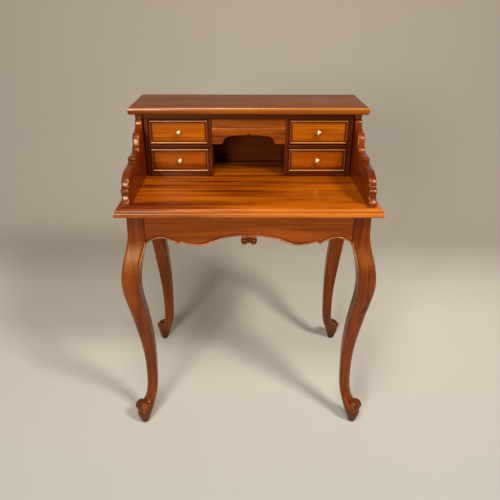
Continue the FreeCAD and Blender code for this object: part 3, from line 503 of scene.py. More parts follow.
# Tint of the darkening in hollows: mostly painted shade, with real stain, toner, joints and end grain in a
# few places.
SHADE_AND_STAIN_TINT = (0.16, 0.07, 0.05)
LINING_TINTS = ((0.72, 0.66, 0.60), (1.12, 1.14, 1.16))
TARNISH_TINT = (0.80, 0.72, 0.60)
SOOT_TINT = (0.25, 0.18, 0.12)
# Scales of mahogany's figure, along and across the grain.
DRIFT, BANDS, STREAKS, THREADS = (1.7, 4), (1.3, 17), (3.2, 85), (11, 390)
VEINS, PORES, HANDLING = (1.9, 48), (60, 1300), (5, 9)
# The backdrop's colours change at these shares of the way from its near mark.
PAPER_NEAR, PAPER_WAY = -1.0, 4.0
PAPER_SHARES = (0.12, 0.35, 0.42, 0.54)
PAPER_MOTTLE = (0.9, 0.9, 0.9)


def tinted(colour, tint, strength=1.0):
    """A colour times a tint, with only part of the tint's change where strength is under 1."""
    return tuple(min(1.0, part * (1 + (change - 1) * strength)) for part, change in zip(colour, tint))


def mahogany(name, colour, grain, shift, contrast, gloss=1.0):
    """Stained and lacquered mahogany whose fibres run along one axis.

    Broad bands, narrower streaks and threads are noises drawn out along the grain, and drift a little
    across it. Dark veins and short open pores are laid over them, then a painted highlight on crowns and
    a darkening in hollows that is mostly painted shade.
    Gloss is the share of the lacquer that the piece has.
    """
    finishes = bpy.context.scene.desk_finishes
    recipe = Recipe(name)
    along, across, beyond = recipe.place(GRAIN_ORDER[grain])
    drift = recipe.noise((along, across, beyond), *DRIFT, 2, shift) - 0.5
    place = (along, across + drift * 0.030, beyond + drift * 0.022)
    bands = recipe.noise(place, *BANDS, 2, shift + 3.1)
    streaks = recipe.noise(place, *STREAKS, 4, shift + 5.7)
    threads = recipe.noise(place, *THREADS, 3, shift + 1.3)
    tone = recipe.rise(bands * 0.46 + streaks * 0.38 + threads * 0.16, 0.37, 0.65)
    wood = recipe.ramp(tone, [(0.0, tinted(colour, DARK_TINT, contrast)), (0.5, tuple(colour)),
                              (1.0, tinted(colour, PALE_TINT, contrast))])
    veins = recipe.rise(recipe.noise(place, *VEINS, 5, shift + 9.2), 0.55, 0.74)
    wood = recipe.mix(veins * (0.75 * contrast), wood, tinted(colour, DEEP_TINT))
    pores = recipe.rise(recipe.noise(place, *PORES, 1, shift), 0.62, 0.72)
    wood = recipe.mix(pores * 0.35, wood, tinted(colour, DEEP_TINT))
    relief = recipe.shade()
    hollow = recipe.rise(relief, 0, 1)
    painted_sheen = recipe.rise(relief * -1, 0, 1)
    polish = recipe.rise(relief * -1, 0, 0.35)
    # Mix in the painted highlight on crowns, then the darkening in hollows, which is mostly painted shade.
    wood = recipe.mix(painted_sheen * 0.8, wood, tuple(finishes.painted_sheen))
    wood = recipe.mix(hollow * 0.85, wood, tinted(colour, SHADE_AND_STAIN_TINT))
    handling = recipe.noise(place, *HANDLING, 3, shift + 4.4)
    return recipe.finish(threads * 0.35 + handling * 0.9 - pores * 0.5, 0.22, 0.4 * MM, Base_Color=wood,
                         Roughness=0.24 + handling * 0.2 + hollow * 0.3, Specular_IOR_Level=gloss * 0.8,
                         Specular_Tint=(*finishes.glow, 1), Coat_IOR=1.5, Coat_Roughness=finishes.dulling,
                         Coat_Weight=polish * 0.6 + finishes.lacquer * gloss)


def lining_wood(name, colour):
    """Pale, dry drawer lining with straight grain along Y and hardly any polish."""
    recipe = Recipe(name)
    place = recipe.place(GRAIN_ORDER["Y"])
    streaks = recipe.noise(place, 4, 120, 4)
    bands = recipe.noise(place, 1.5, 24, 2)
    tone = recipe.rise(streaks * 0.5 + bands * 0.5, 0.35, 0.66)
    wood = recipe.ramp(tone, list(enumerate(tinted(colour, tint) for tint in LINING_TINTS)))
    return recipe.finish(streaks, 0.3, 0.3 * MM, Base_Color=wood, Roughness=0.62 + streaks * 0.2)


def metal(name, colour, roughness):
    """Polished metal, a little duller where it has been handled and darker in its hollows."""
    recipe = Recipe(name)
    cloud = recipe.noise(recipe.place(), 240, 240)
    hollow = recipe.shade()
    tone = recipe.mix(cloud * 0.3, tuple(colour), tinted(colour, TARNISH_TINT))
    tone = recipe.mix(hollow * 0.8, tone, tinted(colour, SOOT_TINT))
    return recipe.finish(cloud, 0.1, 0.1 * MM, Base_Color=tone, Metallic=1.0,
                         Roughness=roughness + cloud * 0.10 + hollow * 0.2)


def paper(name, near, middle, far):
    """Matt backdrop paper with a faint, wide unevenness, in colours near the camera, behind the desk and on
    the wall; the band behind the desk is painted brighter, as painted light.
    """
    recipe = Recipe(name)
    place = recipe.place()
    # The middle colour is a brighter band of painted light behind the desk.
    colours = [tuple(colour) for colour in (near, middle, middle, far)]
    tone = recipe.ramp((place[1] - PAPER_NEAR) * (1 / PAPER_WAY), list(zip(PAPER_SHARES, colours)))
    tone = recipe.mix(recipe.noise(place, 0.8, 0.8, 2), tone, PAPER_MOTTLE, "MULTIPLY")
    recipe.feed(recipe.shader.inputs["Base Color"], tone)
    recipe.feed(recipe.shader.inputs["Roughness"], 0.85)
    return recipe.material


# ---- Moulded boards


def graded(*parts):
    """A profile of (inset, level, shade) from parts, each its points and its first and last shade."""
    return np.concatenate([np.column_stack([points, np.linspace(*ends, len(points))])
                           for points, ends in parts])


def slab_profile(low, high):
    """Edge of the writing slab from its top: quirk, ovolo, nosed lip and rounded foot."""
    quirk, ledge, ovolo, step, nose, lip = 1.3 * MM, 2 * MM, 12 * MM, 2.4 * MM, 2 * MM, 2.5 * MM
    shoulder = 13.3 * MM
    flat, rise, fillet = ovolo + step + ledge, high - quirk, high - shoulder - quirk / 2
    # The shades are painted: shade in the quirk, at the step and under the foot, a painted highlight on the
    # nose and lip.
    return graded(
        ([(flat + quirk / 2, high), (flat, high - quirk / 3), (flat, rise), (ovolo + step, rise)],
         (0.0, 0.5)),
        (ellipse((ovolo + step, high - shoulder), (-ovolo, shoulder - quirk), 90, 0, 14), (0.1, 0.35)),
        ([(step, fillet)], (0.6, 0.6)),
        (ellipse((nose, fillet - nose), (-nose, nose), 90, 0, 7), (-0.6, -0.35)),
        (ellipse((lip, low + lip), (-lip, lip), 0, -90, 7), (-0.1, 0.9)),
    )


def shelf_profile(low, high):
    """Edge of the shelf from its top: flattened round, flat and rounded underside."""
    ovolo, fall, under = 8 * MM, 9 * MM, 6.5 * MM
    middle, radii = (ovolo, high - fall), (-ovolo, fall)
    # The shades are painted: a highlight round the middle of the round and painted shade on the underside.
    return graded(
        (ellipse(middle, radii, 90, 45, 6), (0.3, -0.4)),
        (ellipse(middle, radii, 40, 0, 6), (-0.55, -0.25)),
        (ellipse((under, low + under), (-under, under), 0, -90, 9), (0.0, 0.9)),
    )


class DESK_OT_boards(bpy.types.Operator):
    """The moulded writing slab and shelf"""

    bl_idname = "desk.boards"
    bl_label = "Slab and shelf"

    def execute(self, context):
        finishes = context.scene.desk_finishes
        boards = (("desk_top", slab_profile, finishes.top, 1.8, 7.7, 0.7),
                  ("gallery_shelf", shelf_profile, finishes.shelf, 0.8, 6.1, 0.4))
        for node, profile, colour, contrast, shift, gloss in boards:
            low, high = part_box(node)
            section = profile(low.z, high.z)
            edge = rings(low, high, section, far_held=True)
            surface = Surface().grid(edge, tube=True, shade=section[:, 2:])
            wood = mahogany(node + "_wood", colour, "X", shift, contrast, gloss)
            build(node + "_moulded", surface, wood, node)
        return {"FINISHED"}


# ---- Legs

# Height, inner face, outer face, share of round on the outer corner, and share on the two side corners.
# Both faces are measured from the middle of the post, along X and Y alike.
LEG_STATIONS = (
    (0, 20.1, 37.9, 1.00, 1.00), (3, 18.1, 39.9, 1.00, 1.00), (15, 14.4, 44.3, 1.00, 1.00),
    (32, 8.6, 49.6, 1.00, 1.00), (48, 2.9, 50.3, 1.00, 1.00), (62, -2.0, 43.5, 1.00, 1.00),
    (78, -6.6, 31.5, 0.97, 0.90), (95, -11.1, 23.3, 0.92, 0.78), (125, -16.1, 17.3, 0.86, 0.62),
    (170, -18.5, 14.9, 0.83, 0.46), (257.5, -20.0, 16.8, 0.75, 0.34), (345, -16.4, 27.3, 0.67, 0.26),
    (432.5, -7.0, 40.8, 0.58, 0.20), (520, -0.2, 51.8, 0.50, 0.16), (560, -4.2, 48.2, 0.43, 0.15),
    (600, -11.6, 38.8, 0.34, 0.13), (637, -23.0, 28.7, 0.21, 0.11),
)
POST_STATIONS = (
    (657, -23.0, 25.3, 0.15, 0.10), (686, -23.0, 23.6, 0.11, 0.09), (705, -23.0, 23.1, 0.09, 0.08),
    (728.5, -23.0, 23.0, 0.08, 0.08),
)
LEG_ROWS = 230
POST_ROWS = 46
ROUND_LIMITS = (0.02, 0.999)
QUARTER_TURN = np.array(((0, 1), (-1, 0)))
# Points lie closer together round each corner, in a zone that takes up at most a share of its side.
CORNER_ZONE = 9 * MM
CORNER_SHARE = 0.9
# The bead down the two side corners: where it fades in and out, its size and its quirk, with a painted
# highlight on the bead and painted shade in the quirk.
BEAD_FADE = (0.550, 0.622)
BEAD_TOP = 0.652
BEAD_TAPER = 0.014
BEAD_SPREAD = 2.0 * MM
BEAD_SHARE = 0.7
BEAD_HIGHLIGHT = 0.4
QUIRK_PLACE = 5.4 * MM
QUIRK_SPREAD = 1.3 * MM
QUIRK_DEPTH = 0.9 * MM
QUIRK_SHADE = 0.9
# A painted highlight round the knee.
KNEE_HEIGHT = 0.600
KNEE_SPREAD = 0.048
KNEE_HIGHLIGHT = 0.26
# The foot is darker towards the floor: how high that reaches, how dark and how it fades.
FOOT_DARK_REACH = 0.110
FOOT_DARKENING = 0.85
FOOT_FADE = 0.7


def corner_of_square(half, radius, along):
    """One corner of an eased square, as offsets from its middle and unit normals.

    Distances along are measured round the outline from the corner's middle. Within the eased part
    the point turns on the radius, and beyond it runs straight to the middle of the next side.
    """
    bend = radius * math.pi / 4
    straight = np.clip(np.abs(along) - bend, 0, None) * np.sign(along)
    angle = math.pi / 4 + np.clip(along, -bend, bend) / radius
    normal = np.stack([np.cos(angle), np.sin(angle)], axis=-1)
    beyond = np.stack([np.clip(straight, 0, None), np.clip(-straight, 0, None)], axis=-1)
    return (half - radius)[..., None] + radius[..., None] * normal - beyond, normal


def leg_shaft(bead_relief):
    """Rows of eased squares up a cabriole leg that bows towards +X and +Y from the middle of its post.

    The faces are cubic splines of the height, and above the shaped part the inner one is straight. The
    two side corners carry a bead and its quirk at the top, which fade out below the knee.
    """
    level, inner, outer, round_outer, round_side = np.array(LEG_STATIONS + POST_STATIONS).T
    shaped = len(LEG_STATIONS)
    joint = level[shaped - 1]
    heights = np.concatenate([np.linspace(0, joint, LEG_ROWS, endpoint=False),
                              np.linspace(joint, level[-1], POST_ROWS)])
    bowed = spline(level[:shaped], inner[:shaped], np.minimum(heights, joint))
    inner = np.where(heights <= joint, bowed, inner[-1])
    outer = spline(level, outer, heights)
    round_outer, round_side = (np.interp(heights, level, part) for part in (round_outer, round_side))
    half = ((outer - inner) / 2 * MM)[:, None]
    height = (heights * MM)[:, None]
    fade = smooth_step((height - BEAD_FADE[0]) / (BEAD_FADE[1] - BEAD_FADE[0]))
    fade = fade * np.clip((BEAD_TOP - height) / BEAD_TAPER, 0, 1)
    near = np.linspace(0, CORNER_ZONE, 15)[None, :]
    corners, shades = [], []
    for turn, share in enumerate((round_outer, round_side, (round_outer + round_side) / 2, round_side)):
        radius = np.clip(share[:, None], *ROUND_LIMITS) * half
        side = half - radius + radius * math.pi / 4
        close = np.minimum(near, CORNER_SHARE * side * near / CORNER_ZONE)
        far = close[:, -1:] + (side - close[:, -1:]) * np.linspace(0, 1, 7)[None, 1:-1]
        reach = np.concatenate([close, far], axis=1)
        along = np.concatenate([-side, -reach[:, :0:-1], reach], axis=1)
        corner, normal = corner_of_square(half, radius, along)
        carved = fade * (turn % 2)
        bead = np.exp(-(along / BEAD_SPREAD) ** 2)
        quirk = np.exp(-((np.abs(along) - QUIRK_PLACE) / QUIRK_SPREAD) ** 2)
        relief = (bead * bead_relief * BEAD_SHARE - quirk * QUIRK_DEPTH) * carved
        # Painted shade in the quirk and a painted highlight on the bead.
        shades.append((quirk * QUIRK_SHADE - bead * BEAD_HIGHLIGHT) * carved)
        corners.append((corner + normal * relief[..., None]) @ np.linalg.matrix_power(QUARTER_TURN, turn))
    plan = np.concatenate(corners, axis=1) + ((inner + outer) / 2 * MM)[:, None, None]
    # A painted highlight round the knee.
    knee = np.exp(-((height - KNEE_HEIGHT) / KNEE_SPREAD) ** 2)
    # The foot darker towards the floor.
    foot = np.clip((FOOT_DARK_REACH - height) / FOOT_DARK_REACH, 0, 1) ** FOOT_FADE
    shade = np.concatenate(shades, axis=1) + FOOT_DARKENING * foot - KNEE_HIGHLIGHT * knee
    return np.dstack([plan, np.broadcast_to(height, shade.shape)]), shade


# The scroll of a foot: its place on the diagonal and its barrel, which narrows towards both ends.
SCROLL_REACH = 29.5 * MM
SCROLL_HEIGHT = 62.5 * MM
SCROLL_RADIUS = 21.5 * MM
SCROLL_HALF = 16.5 * MM
SCROLL_FALL = 0.24
# The barrel is made darker, and its ends round the bands get painted shade.
SCROLL_SHADES = (0.5, 0.95)
# Outer and inner radius of the band, turns, first angle, half width and relief; the eye's radius and height.
SCROLL_BAND = (16.4 * MM, 7.0 * MM, 1.5, math.radians(-50), 3.5 * MM, 5.4 * MM)
SCROLL_EYE = (4.6 * MM, 5.6 * MM)


def add_foot_scroll(surface):
    """The scroll of the foot: a barrel across the leg's diagonal, with a spiral band and an eye at each end.

    The barrel's radius falls off with the cube of the distance from its middle.
    """
    diagonal, across = unit(np.array(((1, 1, 0), (1, -1, 0))))
    middle = np.array((SCROLL_REACH, SCROLL_REACH, SCROLL_HEIGHT))
    along = np.linspace(-1, 1, 25)
    crown = SCROLL_RADIUS * (1 - SCROLL_FALL * np.abs(along) ** 3)
    barrel = np.stack([crown, SCROLL_HALF * along], axis=1)
    barrel = np.concatenate([[(0, -SCROLL_HALF)], barrel, [(0, SCROLL_HALF)]])
    # The barrel darker; its ends round the bands painted shade.
    stain = np.where(np.abs(barrel[:, 1]) < SCROLL_HALF, *SCROLL_SHADES)
    surface.turned(barrel, (middle, diagonal, UP, across), 56, stain)
    for side in (-1, 1):
        place = (middle + side * across * SCROLL_HALF, diagonal, UP, side * across)
        surface.spiral(place, *SCROLL_BAND)
        surface.dome(place, *SCROLL_EYE)


class DESK_OT_legs(bpy.types.Operator):
    """The four cabriole legs with scrolled feet"""

    bl_idname = "desk.legs"
    bl_label = "Legs"

    def execute(self, context):
        finishes = context.scene.desk_finishes
        slab_low, slab_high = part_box("desk_top")
        offset_x = slab_high.x - SIDE_OVERHANG - LEG_SQUARE / 2
        places_y = {"front": slab_low.y + FRONT_OVERHANG + LEG_SQUARE / 2,
                    "rear": slab_high.y - REAR_OVERHANG - LEG_SQUARE / 2}
        shaft, shade = leg_shaft(context.scene.desk_shapes.bead_relief)
        surface = Surface().grid(shaft, tube=True, shade=shade)
        add_foot_scroll(surface)
        points = np.concatenate(surface.points)
        for number, (end, along) in enumerate(ENDS.items()):
            for side, sign in SIDES.items():
                surface.points = [points * (sign, along, 1) + (sign * offset_x, places_y[end], 0)]
                node = f"leg_{end}_{side}"
                wood = mahogany(node + "_wood", finishes.leg, "Z", 11.3 * number + sign, 1.2, 0.7)
                build(node + "_carved", surface, wood, node)
        return {"FINISHED"}


# ---- Aprons

# Lower edge of the front apron from the middle to the drip, and from its tip to the post: distance, drop.
FRONT_BELLY = ((0, 69.3), (12, 67.6), (26, 66.8), (47, 69.1), (81, 77.3), (111, 89.3), (136, 94.8),
               (162, 92.3), (178, 88.0), (188, 85.0))
FRONT_DRIP = ((188, 85.0), (193, 88.0), (199.3, 92.4))
FRONT_ARCH = ((199.3, 92.4), (206, 86.0), (216, 80.5), (230, 74.3), (245, 71.8), (262, 75.3), (277, 82.6),
              (288, 90.0))
# Lower edge of a side apron, in the same way.
SIDE_BELLY = ((0, 93.0), (24, 91.2), (48, 86.0), (62, 84.0))
SIDE_NOTCH = ((62, 84.0), (70, 87.0), (84, 93.0))
SIDE_ARCH = ((84, 93.0), (98, 83.5), (118, 75.5), (140, 72.0), (158, 76.5), (170, 82.0), (182, 90.0))
# Points to each millimetre of an edge, and the fewest that a run of it has.
EDGE_DENSITY = 1.3
EDGE_LEAST = 10
# A painted highlight on the bead's crown and painted shade in its quirk; the ends are dark at the joint with
# the post.
APRON_CROWN_HIGHLIGHT = -0.32
APRON_QUIRK_SHADES = (0.1, 0.8, 0.8, 0.45, 0.1)
APRON_END_STAIN = 0.95
APRON_END_WIDTH = 1.8 * MM


def mirrored(half):
    """A whole edge from its right half, whose first point lies on the middle."""
    return np.concatenate([half[:0:-1] * (-1, 1), half])


def apron_edge(runs, slab_bottom):
    """Lower edge of an apron from end to end, as (place, height), from the runs of its right half."""
    halves = []
    for run in runs:
        span = abs(run[-1][0] - run[0][0])
        halves.append(curve_through(run, max(EDGE_LEAST, int(span * EDGE_DENSITY))))
    half = np.concatenate([run[:-1] for run in halves[:-1]] + [halves[-1]])
    return mirrored(np.stack([half[:, 0] * MM, slab_bottom - half[:, 1] * MM], axis=1))


def line_above(edge, distance):
    """Heights of a line at a distance above an edge: the tops of circles rolled along it.

    At each place it is the highest of the circles of that radius on all points of the edge.
    """
    places = np.linspace(edge[0, 0], edge[-1, 0], 8 * len(edge))
    heights = np.interp(places, edge[:, 0], edge[:, 1])
    across = edge[:, :1] - places[None, :]
    circle = heights + np.sqrt(np.clip(distance ** 2 - across ** 2, 0, None))
    covered = np.where(np.abs(across) < distance, circle, 0)
    return np.maximum(covered.max(axis=1), edge[:, 1])


def apron_sections(edge, top, bead_width, bead_relief):
    """Cross-sections of an apron, one per point of its edge, as (place, depth, height) from its face.

    Each goes down the back, under the edge, round the bead, over its quirk and up the face. Its points
    lie on lines at their own distance above the edge, so the bead keeps its width and meets at a mitre.
    """
    ease, quirk, sink = 1.2 * MM, 2.0 * MM, 1.3 * MM
    foot = [(ease, APRON_THICKNESS), (0, APRON_THICKNESS - ease), (0, ease)]
    bead = ellipse((bead_width / 2, 0), (-bead_width / 2, -bead_relief), 0, 180, 11)
    hollow = [(bead_width + quirk * 0.4, sink), (bead_width + quirk * 0.7, sink), (bead_width + quirk, 0)]
    steps = np.concatenate([foot, bead, hollow])
    lines = [line_above(edge, above) for above in steps[:, 0]]
    face = [lines[-1] + (top - lines[-1]) * share for share in (0.1, 0.5, 1.0)]
    heights = np.stack([np.full(len(edge), top)] + lines + face, axis=1)
    depths = np.concatenate([[APRON_THICKNESS], steps[:, 1], np.zeros(len(face))])
    sections = np.stack(np.broadcast_arrays(edge[:, :1], depths, heights), axis=-1)
    shade = np.zeros(heights.shape)
    # Painted highlight on the bead's crown, painted shade in the quirk.
    shade[:, 7:12] = APRON_CROWN_HIGHLIGHT
    shade[:, -7:-2] = APRON_QUIRK_SHADES
    shade[np.abs(edge[:, 0]) > edge[:, 0].max() - APRON_END_WIDTH] = APRON_END_STAIN
    return sections, shade


VOLUTE_PLACE = (12.4 * MM, 80.5 * MM)
VOLUTE_RADIUS = 14.2 * MM
VOLUTE_NARROW = 0.82
VOLUTE_RIM = 2.2 * MM
# Inner radius of the band, turns and first angle; then its relief and how much its painted shade deepens
# towards the eye.
VOLUTE_WIND = (7.4 * MM, 0.76, math.radians(60))
VOLUTE_CARVING = (4.6 * MM, 0.9)
# Radius, height and darkening of the ball.
VOLUTE_BALL = (5.0 * MM, 6.2 * MM, 0.15)
GROUND_RISE = 5 * MM
# The sunk ground and the discs under the bands are painted dark, as painted shade.
GROUND_SHADE = 0.95
PEG_PLACE = (-241 * MM, 29.5 * MM)
PEG_STAIN = 0.9


def drum(radius, foot, rim, crown):
    """Section of a short cylinder as (radius, height), given in millimetres."""
    return np.array([(0, foot), (radius, foot), (radius, rim), (0, crown)]) * MM


def add_volutes(surface, face, slab_bottom, half_width):
    """The two volutes under the middle of the front apron, on a sunk ground between them.

    Each is a disc with a band that comes off the apron's bead, goes over the top to the middle and
    winds inwards to a ball.
    """
    across, drop = VOLUTE_PLACE
    level = slab_bottom - drop
    surface.turned(drum(12, -12, -1.2, -1.2), ((0, face, level + GROUND_RISE), *FACING), 32, GROUND_SHADE)
    disc = drum((VOLUTE_RADIUS - VOLUTE_RIM) / MM, -10, -0.8, -0.8)
    for sign in (-1, 1):
        place = ((sign * across, face, level), (sign * VOLUTE_NARROW, 0, 0), *FACING[1:])
        surface.turned(disc, place, 48, GROUND_SHADE)
        surface.spiral(place, VOLUTE_RADIUS - half_width, *VOLUTE_WIND, half_width, *VOLUTE_CARVING)
        surface.dome(place, *VOLUTE_BALL)


class DESK_OT_aprons(bpy.types.Operator):
    """The shaped aprons with their beads, volutes and peg"""

    bl_idname = "desk.aprons"
    bl_label = "Aprons"

    def execute(self, context):
        shapes = context.scene.desk_shapes
        finishes = context.scene.desk_finishes
        slab_low, slab_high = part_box("desk_top")
        bottom = slab_low.z
        bead = (bottom, shapes.bead_width, shapes.bead_relief)
        face = slab_low.y + FRONT_OVERHANG + APRON_SETBACK
        wood = mahogany("apron_wood", finishes.apron, "X", 14.6, 1.1, 0.6)
        sections, shade = apron_sections(apron_edge((FRONT_BELLY, FRONT_DRIP, FRONT_ARCH), bottom), *bead)
        surface = Surface().grid(sections + (0, face, 0), tube=True, shade=shade)
        add_volutes(surface, face, bottom, shapes.volute_band)
        spot = (PEG_PLACE[0], face, bottom - PEG_PLACE[1])
        surface.turned(drum(2.1, -1, 0.15, 0.25), (spot, *FACING), 20, PEG_STAIN)
        build("apron_front_carved", surface, wood, "apron_front")
        side_wood = mahogany("apron_side_wood", finishes.apron, "Y", 23.9, 0.7, 0.8)
        sections, shade = apron_sections(apron_edge((SIDE_BELLY, SIDE_NOTCH, SIDE_ARCH), bottom), *bead)
        reach = slab_high.x - SIDE_OVERHANG - APRON_SETBACK
        middle = (slab_low.y + FRONT_OVERHANG + slab_high.y - REAR_OVERHANG) / 2
        for side, sign in SIDES.items():
            rail = placed(sections, (sign * reach, middle, 0), (0, 1, 0), (-sign, 0, 0), UP)
            surface = Surface().grid(rail, tube=True, shade=shade)
            build(f"apron_{side}_carved", surface, side_wood, f"apron_{side}")
        low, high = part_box("apron_rear")
        tenon = Vector((TENON_LENGTH, 0, 0))
        board = rounded_board(low + tenon, high - tenon, shapes.arris)
        build("apron_rear_board", board, wood, "apron_rear")
        return {"FINISHED"}


# ---- Gallery

# Front outline of a gallery side from its head down: setback from the desk's front, drop, bow.
GALLERY_FRONT = (
    (286, 0, 0), (286, 16, -2.5), (274, 24, 0), (274, 33, 3), (232, 47, -2), (219, 63, 0), (217, 78, -3),
    (200, 90, 1.5), (148, 92, -2), (136, 97, 0), (139, 103, 1.5), (90, 108, -3), (48, 119, -3),
    (33, 138, 1), (29, 143, -2.5), (17, 153, 2.5), (21, 168, 1.5), (11, 184, 0),
)
# A point is free to move while the nearest part of the outline is this share of its move away.
FREE_SHARE = 0.96


def room_inside(outline, normals, radius):
    """How far each point of a closed outline can move along its normal before another part is nearer.

    The distance to the outline, marked every millimetre, is measured at twelve places up to the radius.
    """
    closed = np.concatenate([outline, outline[:1]])
    along = np.concatenate([[0], np.cumsum(np.hypot(*np.diff(closed, axis=0).T))])
    marks = np.arange(0, along[-1], MM)
    marked = np.stack([np.interp(marks, along, part) for part in closed.T], axis=1)
    steps = np.linspace(0, radius, 13)[1:]
    moved = outline[:, None] + normals[:, None] * steps[:, None]
    nearest = np.linalg.norm(moved[:, :, None] - marked, axis=-1).min(axis=-1)
    free = nearest > steps * FREE_SHARE
    return radius * np.cumprod(free, axis=1).sum(axis=1) / len(steps)


def outlined_board(outline, low, high, radius, eased):
    """A board with a free outline, its edges rounded where eased is 1, and less in sharp corners.

    Rings of the outline move in along its normals by the radius less the radius times a cosine, while
    their level follows the sine.
    """
    normals = left_normals(np.roll(outline, -1, axis=0) - np.roll(outline, 1, axis=0))
    radii = room_inside(outline, normals, radius) * eased
    edges = []
    for end, sense in ((low, -1), (high, 1)):
        for angle in np.radians(np.linspace(0, 90, 7)[::sense]):
            level = end - sense * radii * (1 - math.sin(angle))
            inward = radii * (1 - math.cos(angle))
            edges.append(np.column_stack([level, outline + normals * inward[:, None]]))
    return np.stack(edges)


class DESK_OT_gallery(bpy.types.Operator):
    """The scrolled gallery sides and the panel behind the case"""

    bl_idname = "desk.gallery"
    bl_label = "Gallery"

    def execute(self, context):
        finishes = context.scene.desk_finishes
        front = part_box("desk_top")[0].y
        wood = mahogany("gallery_wood", finishes.gallery, "Z", 31.7, 0.9)
        for side in SIDES:
            node = f"gallery_side_{side}"
            low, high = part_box(node)
            corners = [(high.y, low.z, 0), (high.y, high.z, 0)]
            corners += [(front + setback * MM, high.z - fall * MM, bow * MM)
                        for setback, fall, bow in GALLERY_FRONT]
            corners.append((corners[-1][0], low.z, 0))
            outline = bowed_path(corners, closed=True)
            depth, height = outline.T
            eased = (height > low.z + MM) & (height < high.z - MM) & (depth < high.y - MM)
            rows = outlined_board(outline, low.x, high.x, context.scene.desk_shapes.gallery_round, eased)
            surface = Surface().grid(rows, tube=True)
            build(node + "_carved", surface, wood, node)
        dress(["back_panel"], mahogany("back_panel_wood", finishes.back, "X", 41.1, 0.6, 0.3))
        return {"FINISHED"}


# ---- Case


class DESK_OT_case(bpy.types.Operator):
    """The boards of the case and its drawer stops"""

    bl_idname = "desk.case"
    bl_label = "Case"

    def execute(self, context):
        finishes = context.scene.desk_finishes
        upright = mahogany("case_upright_wood", finishes.case, "Z", 47.5, 0.7, 0.5)
        level = mahogany("case_level_wood", finishes.case, "X", 53.3, 0.7, 0.5)
        boards = [("case_top", level)]
        for side in SIDES:
            boards += [(f"case_end_{side}", upright), (f"case_divider_{side}", upright),
                       (f"drawer_rail_{side}", level), (f"case_bottom_{side}", level)]
        for node, wood in boards:
            board = rounded_board(*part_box(node), context.scene.desk_shapes.arris)
            build(node + "_eased", board, wood, node)
        dress(["drawer_stops", "corner_blocks", "shelf_dowels"], lining_wood("block_wood", finishes.lining))
        return {"FINISHED"}


# Lower edge of the valance from the middle to the divider: distance, rise above its foot, bow.
VALANCE_EDGE = ((0, 34, -1), (7, 27, 1), (53, 24, 5), (78, 6, -2), (88.5, 0, 0), (110.5, 0, 0))
VALANCE_STEP_HEIGHT = 45.5 * MM
VALANCE_SPACING = 0.9 * MM
VALANCE_EASE = 1.6 * MM
# The ground of the carving lies this many reliefs behind the front of the board.
VALANCE_SINK = 1.5
# The spirals: how far in from the divider and above the foot, from turn to turn, rim, fade, relief and
# painted shade in their grooves.
CURL_PLACE = (21 * MM, 23 * MM)
CURL_PITCH = 5.5 * MM
CURL_RIM = 11 * MM
CURL_FADE = 4 * MM
CURL_SHARE = 0.9
CURL_SHADE = 0.8
# The painted shadow cast on the valance under the case's top: it starts this far down, deepens over this
# height, to this depth.
SHELF_SHADOW_START = 36 * MM
SHELF_SHADOW_HEIGHT = 22 * MM
SHELF_SHADOW_DEPTH = 0.45


def carved_border(x, z, foot, half, relief):
    """Height of the valance's carving: a border below a level line, and a spiral near each lower corner.

    The border falls away smoothly at its upper line. Each spiral is a cosine of the angle plus the
    radius over its pitch, faded out towards its rim.
    """
    border = relief * smooth_step(1 - (z - foot - VALANCE_STEP_HEIGHT) / (3 * MM))
    across = np.abs(x) - (half - CURL_PLACE[0])
    above = z - foot - CURL_PLACE[1]
    distance = np.hypot(across, above)
    fade = np.clip((CURL_RIM - distance) / CURL_FADE, 0, 1)
    wave = 0.5 + 0.5 * np.cos(np.arctan2(above, across) + 2 * math.pi * distance / CURL_PITCH)
    # The second value is painted shade in the spiral's grooves.
    return border + relief * CURL_SHARE * fade * (wave - 0.5), fade * (1 - wave)


class DESK_OT_valance(bpy.types.Operator):
    """The shaped and carved board over the pigeonhole"""

    bl_idname = "desk.valance"
    bl_label = "Valance"

    def execute(self, context):
        relief = context.scene.desk_shapes.valance_relief
        low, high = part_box("valance")
        right = bowed_path([(x * MM, low.z + rise * MM, bow * MM) for x, rise, bow in VALANCE_EDGE], 26)
        edge = mirrored(filled(right, VALANCE_SPACING))
        inward = blurred(left_normals(np.gradient(edge, axis=0)), 3) * VALANCE_EASE
        start = edge + inward
        share = np.linspace(0, 1, 70)[:, None]
        x = start[:, 0] * (1 - share) + edge[:, 0] * share
        z = start[:, 1] + (high.z - start[:, 1]) * share
        height, hollow = carved_border(x, z, low.z, high.x, relief)
        face = np.stack([x, low.y + relief * VALANCE_SINK - height, z], axis=-1)
        rounding = []
        for angle in np.radians(np.linspace(90, 15, 6)):
            point = edge + inward * (1 - math.sin(angle))
            depth = face[0, :, 1] + VALANCE_EASE * (1 - math.cos(angle))
            rounding.append(np.stack([point[:, 0], depth, point[:, 1]], axis=1))
        rear = np.full(len(edge), high.y)
        under = np.stack([edge[:, 0], rear, edge[:, 1]], axis=1)
        back = np.stack([edge[:, 0], rear, np.full(len(edge), high.z)], axis=1)
        sections = np.stack([back, under, *rounding, *face], axis=1)
        shade = np.zeros(sections.shape[:2])
        # Painted shade in the carving's grooves and a painted shadow under the top.
        shelf_shadow = np.clip((z - high.z + SHELF_SHADOW_START) / SHELF_SHADOW_HEIGHT, 0, 1)
        shade[:, -len(face):] = (hollow * CURL_SHADE + shelf_shadow * SHELF_SHADOW_DEPTH).T
        wood = mahogany("valance_wood", context.scene.desk_finishes.valance, "X", 61.9, 1.5, 0.6)
        surface = Surface().grid(sections, tube=True, shade=shade)
        build("valance_carved", surface, wood, "valance")
        return {"FINISHED"}


# ---- Drawers

COCKBEAD_WIDTH = 5 * MM
COCKBEAD_SINK = 0.2 * MM
MITRE_SHARE = 0.9997
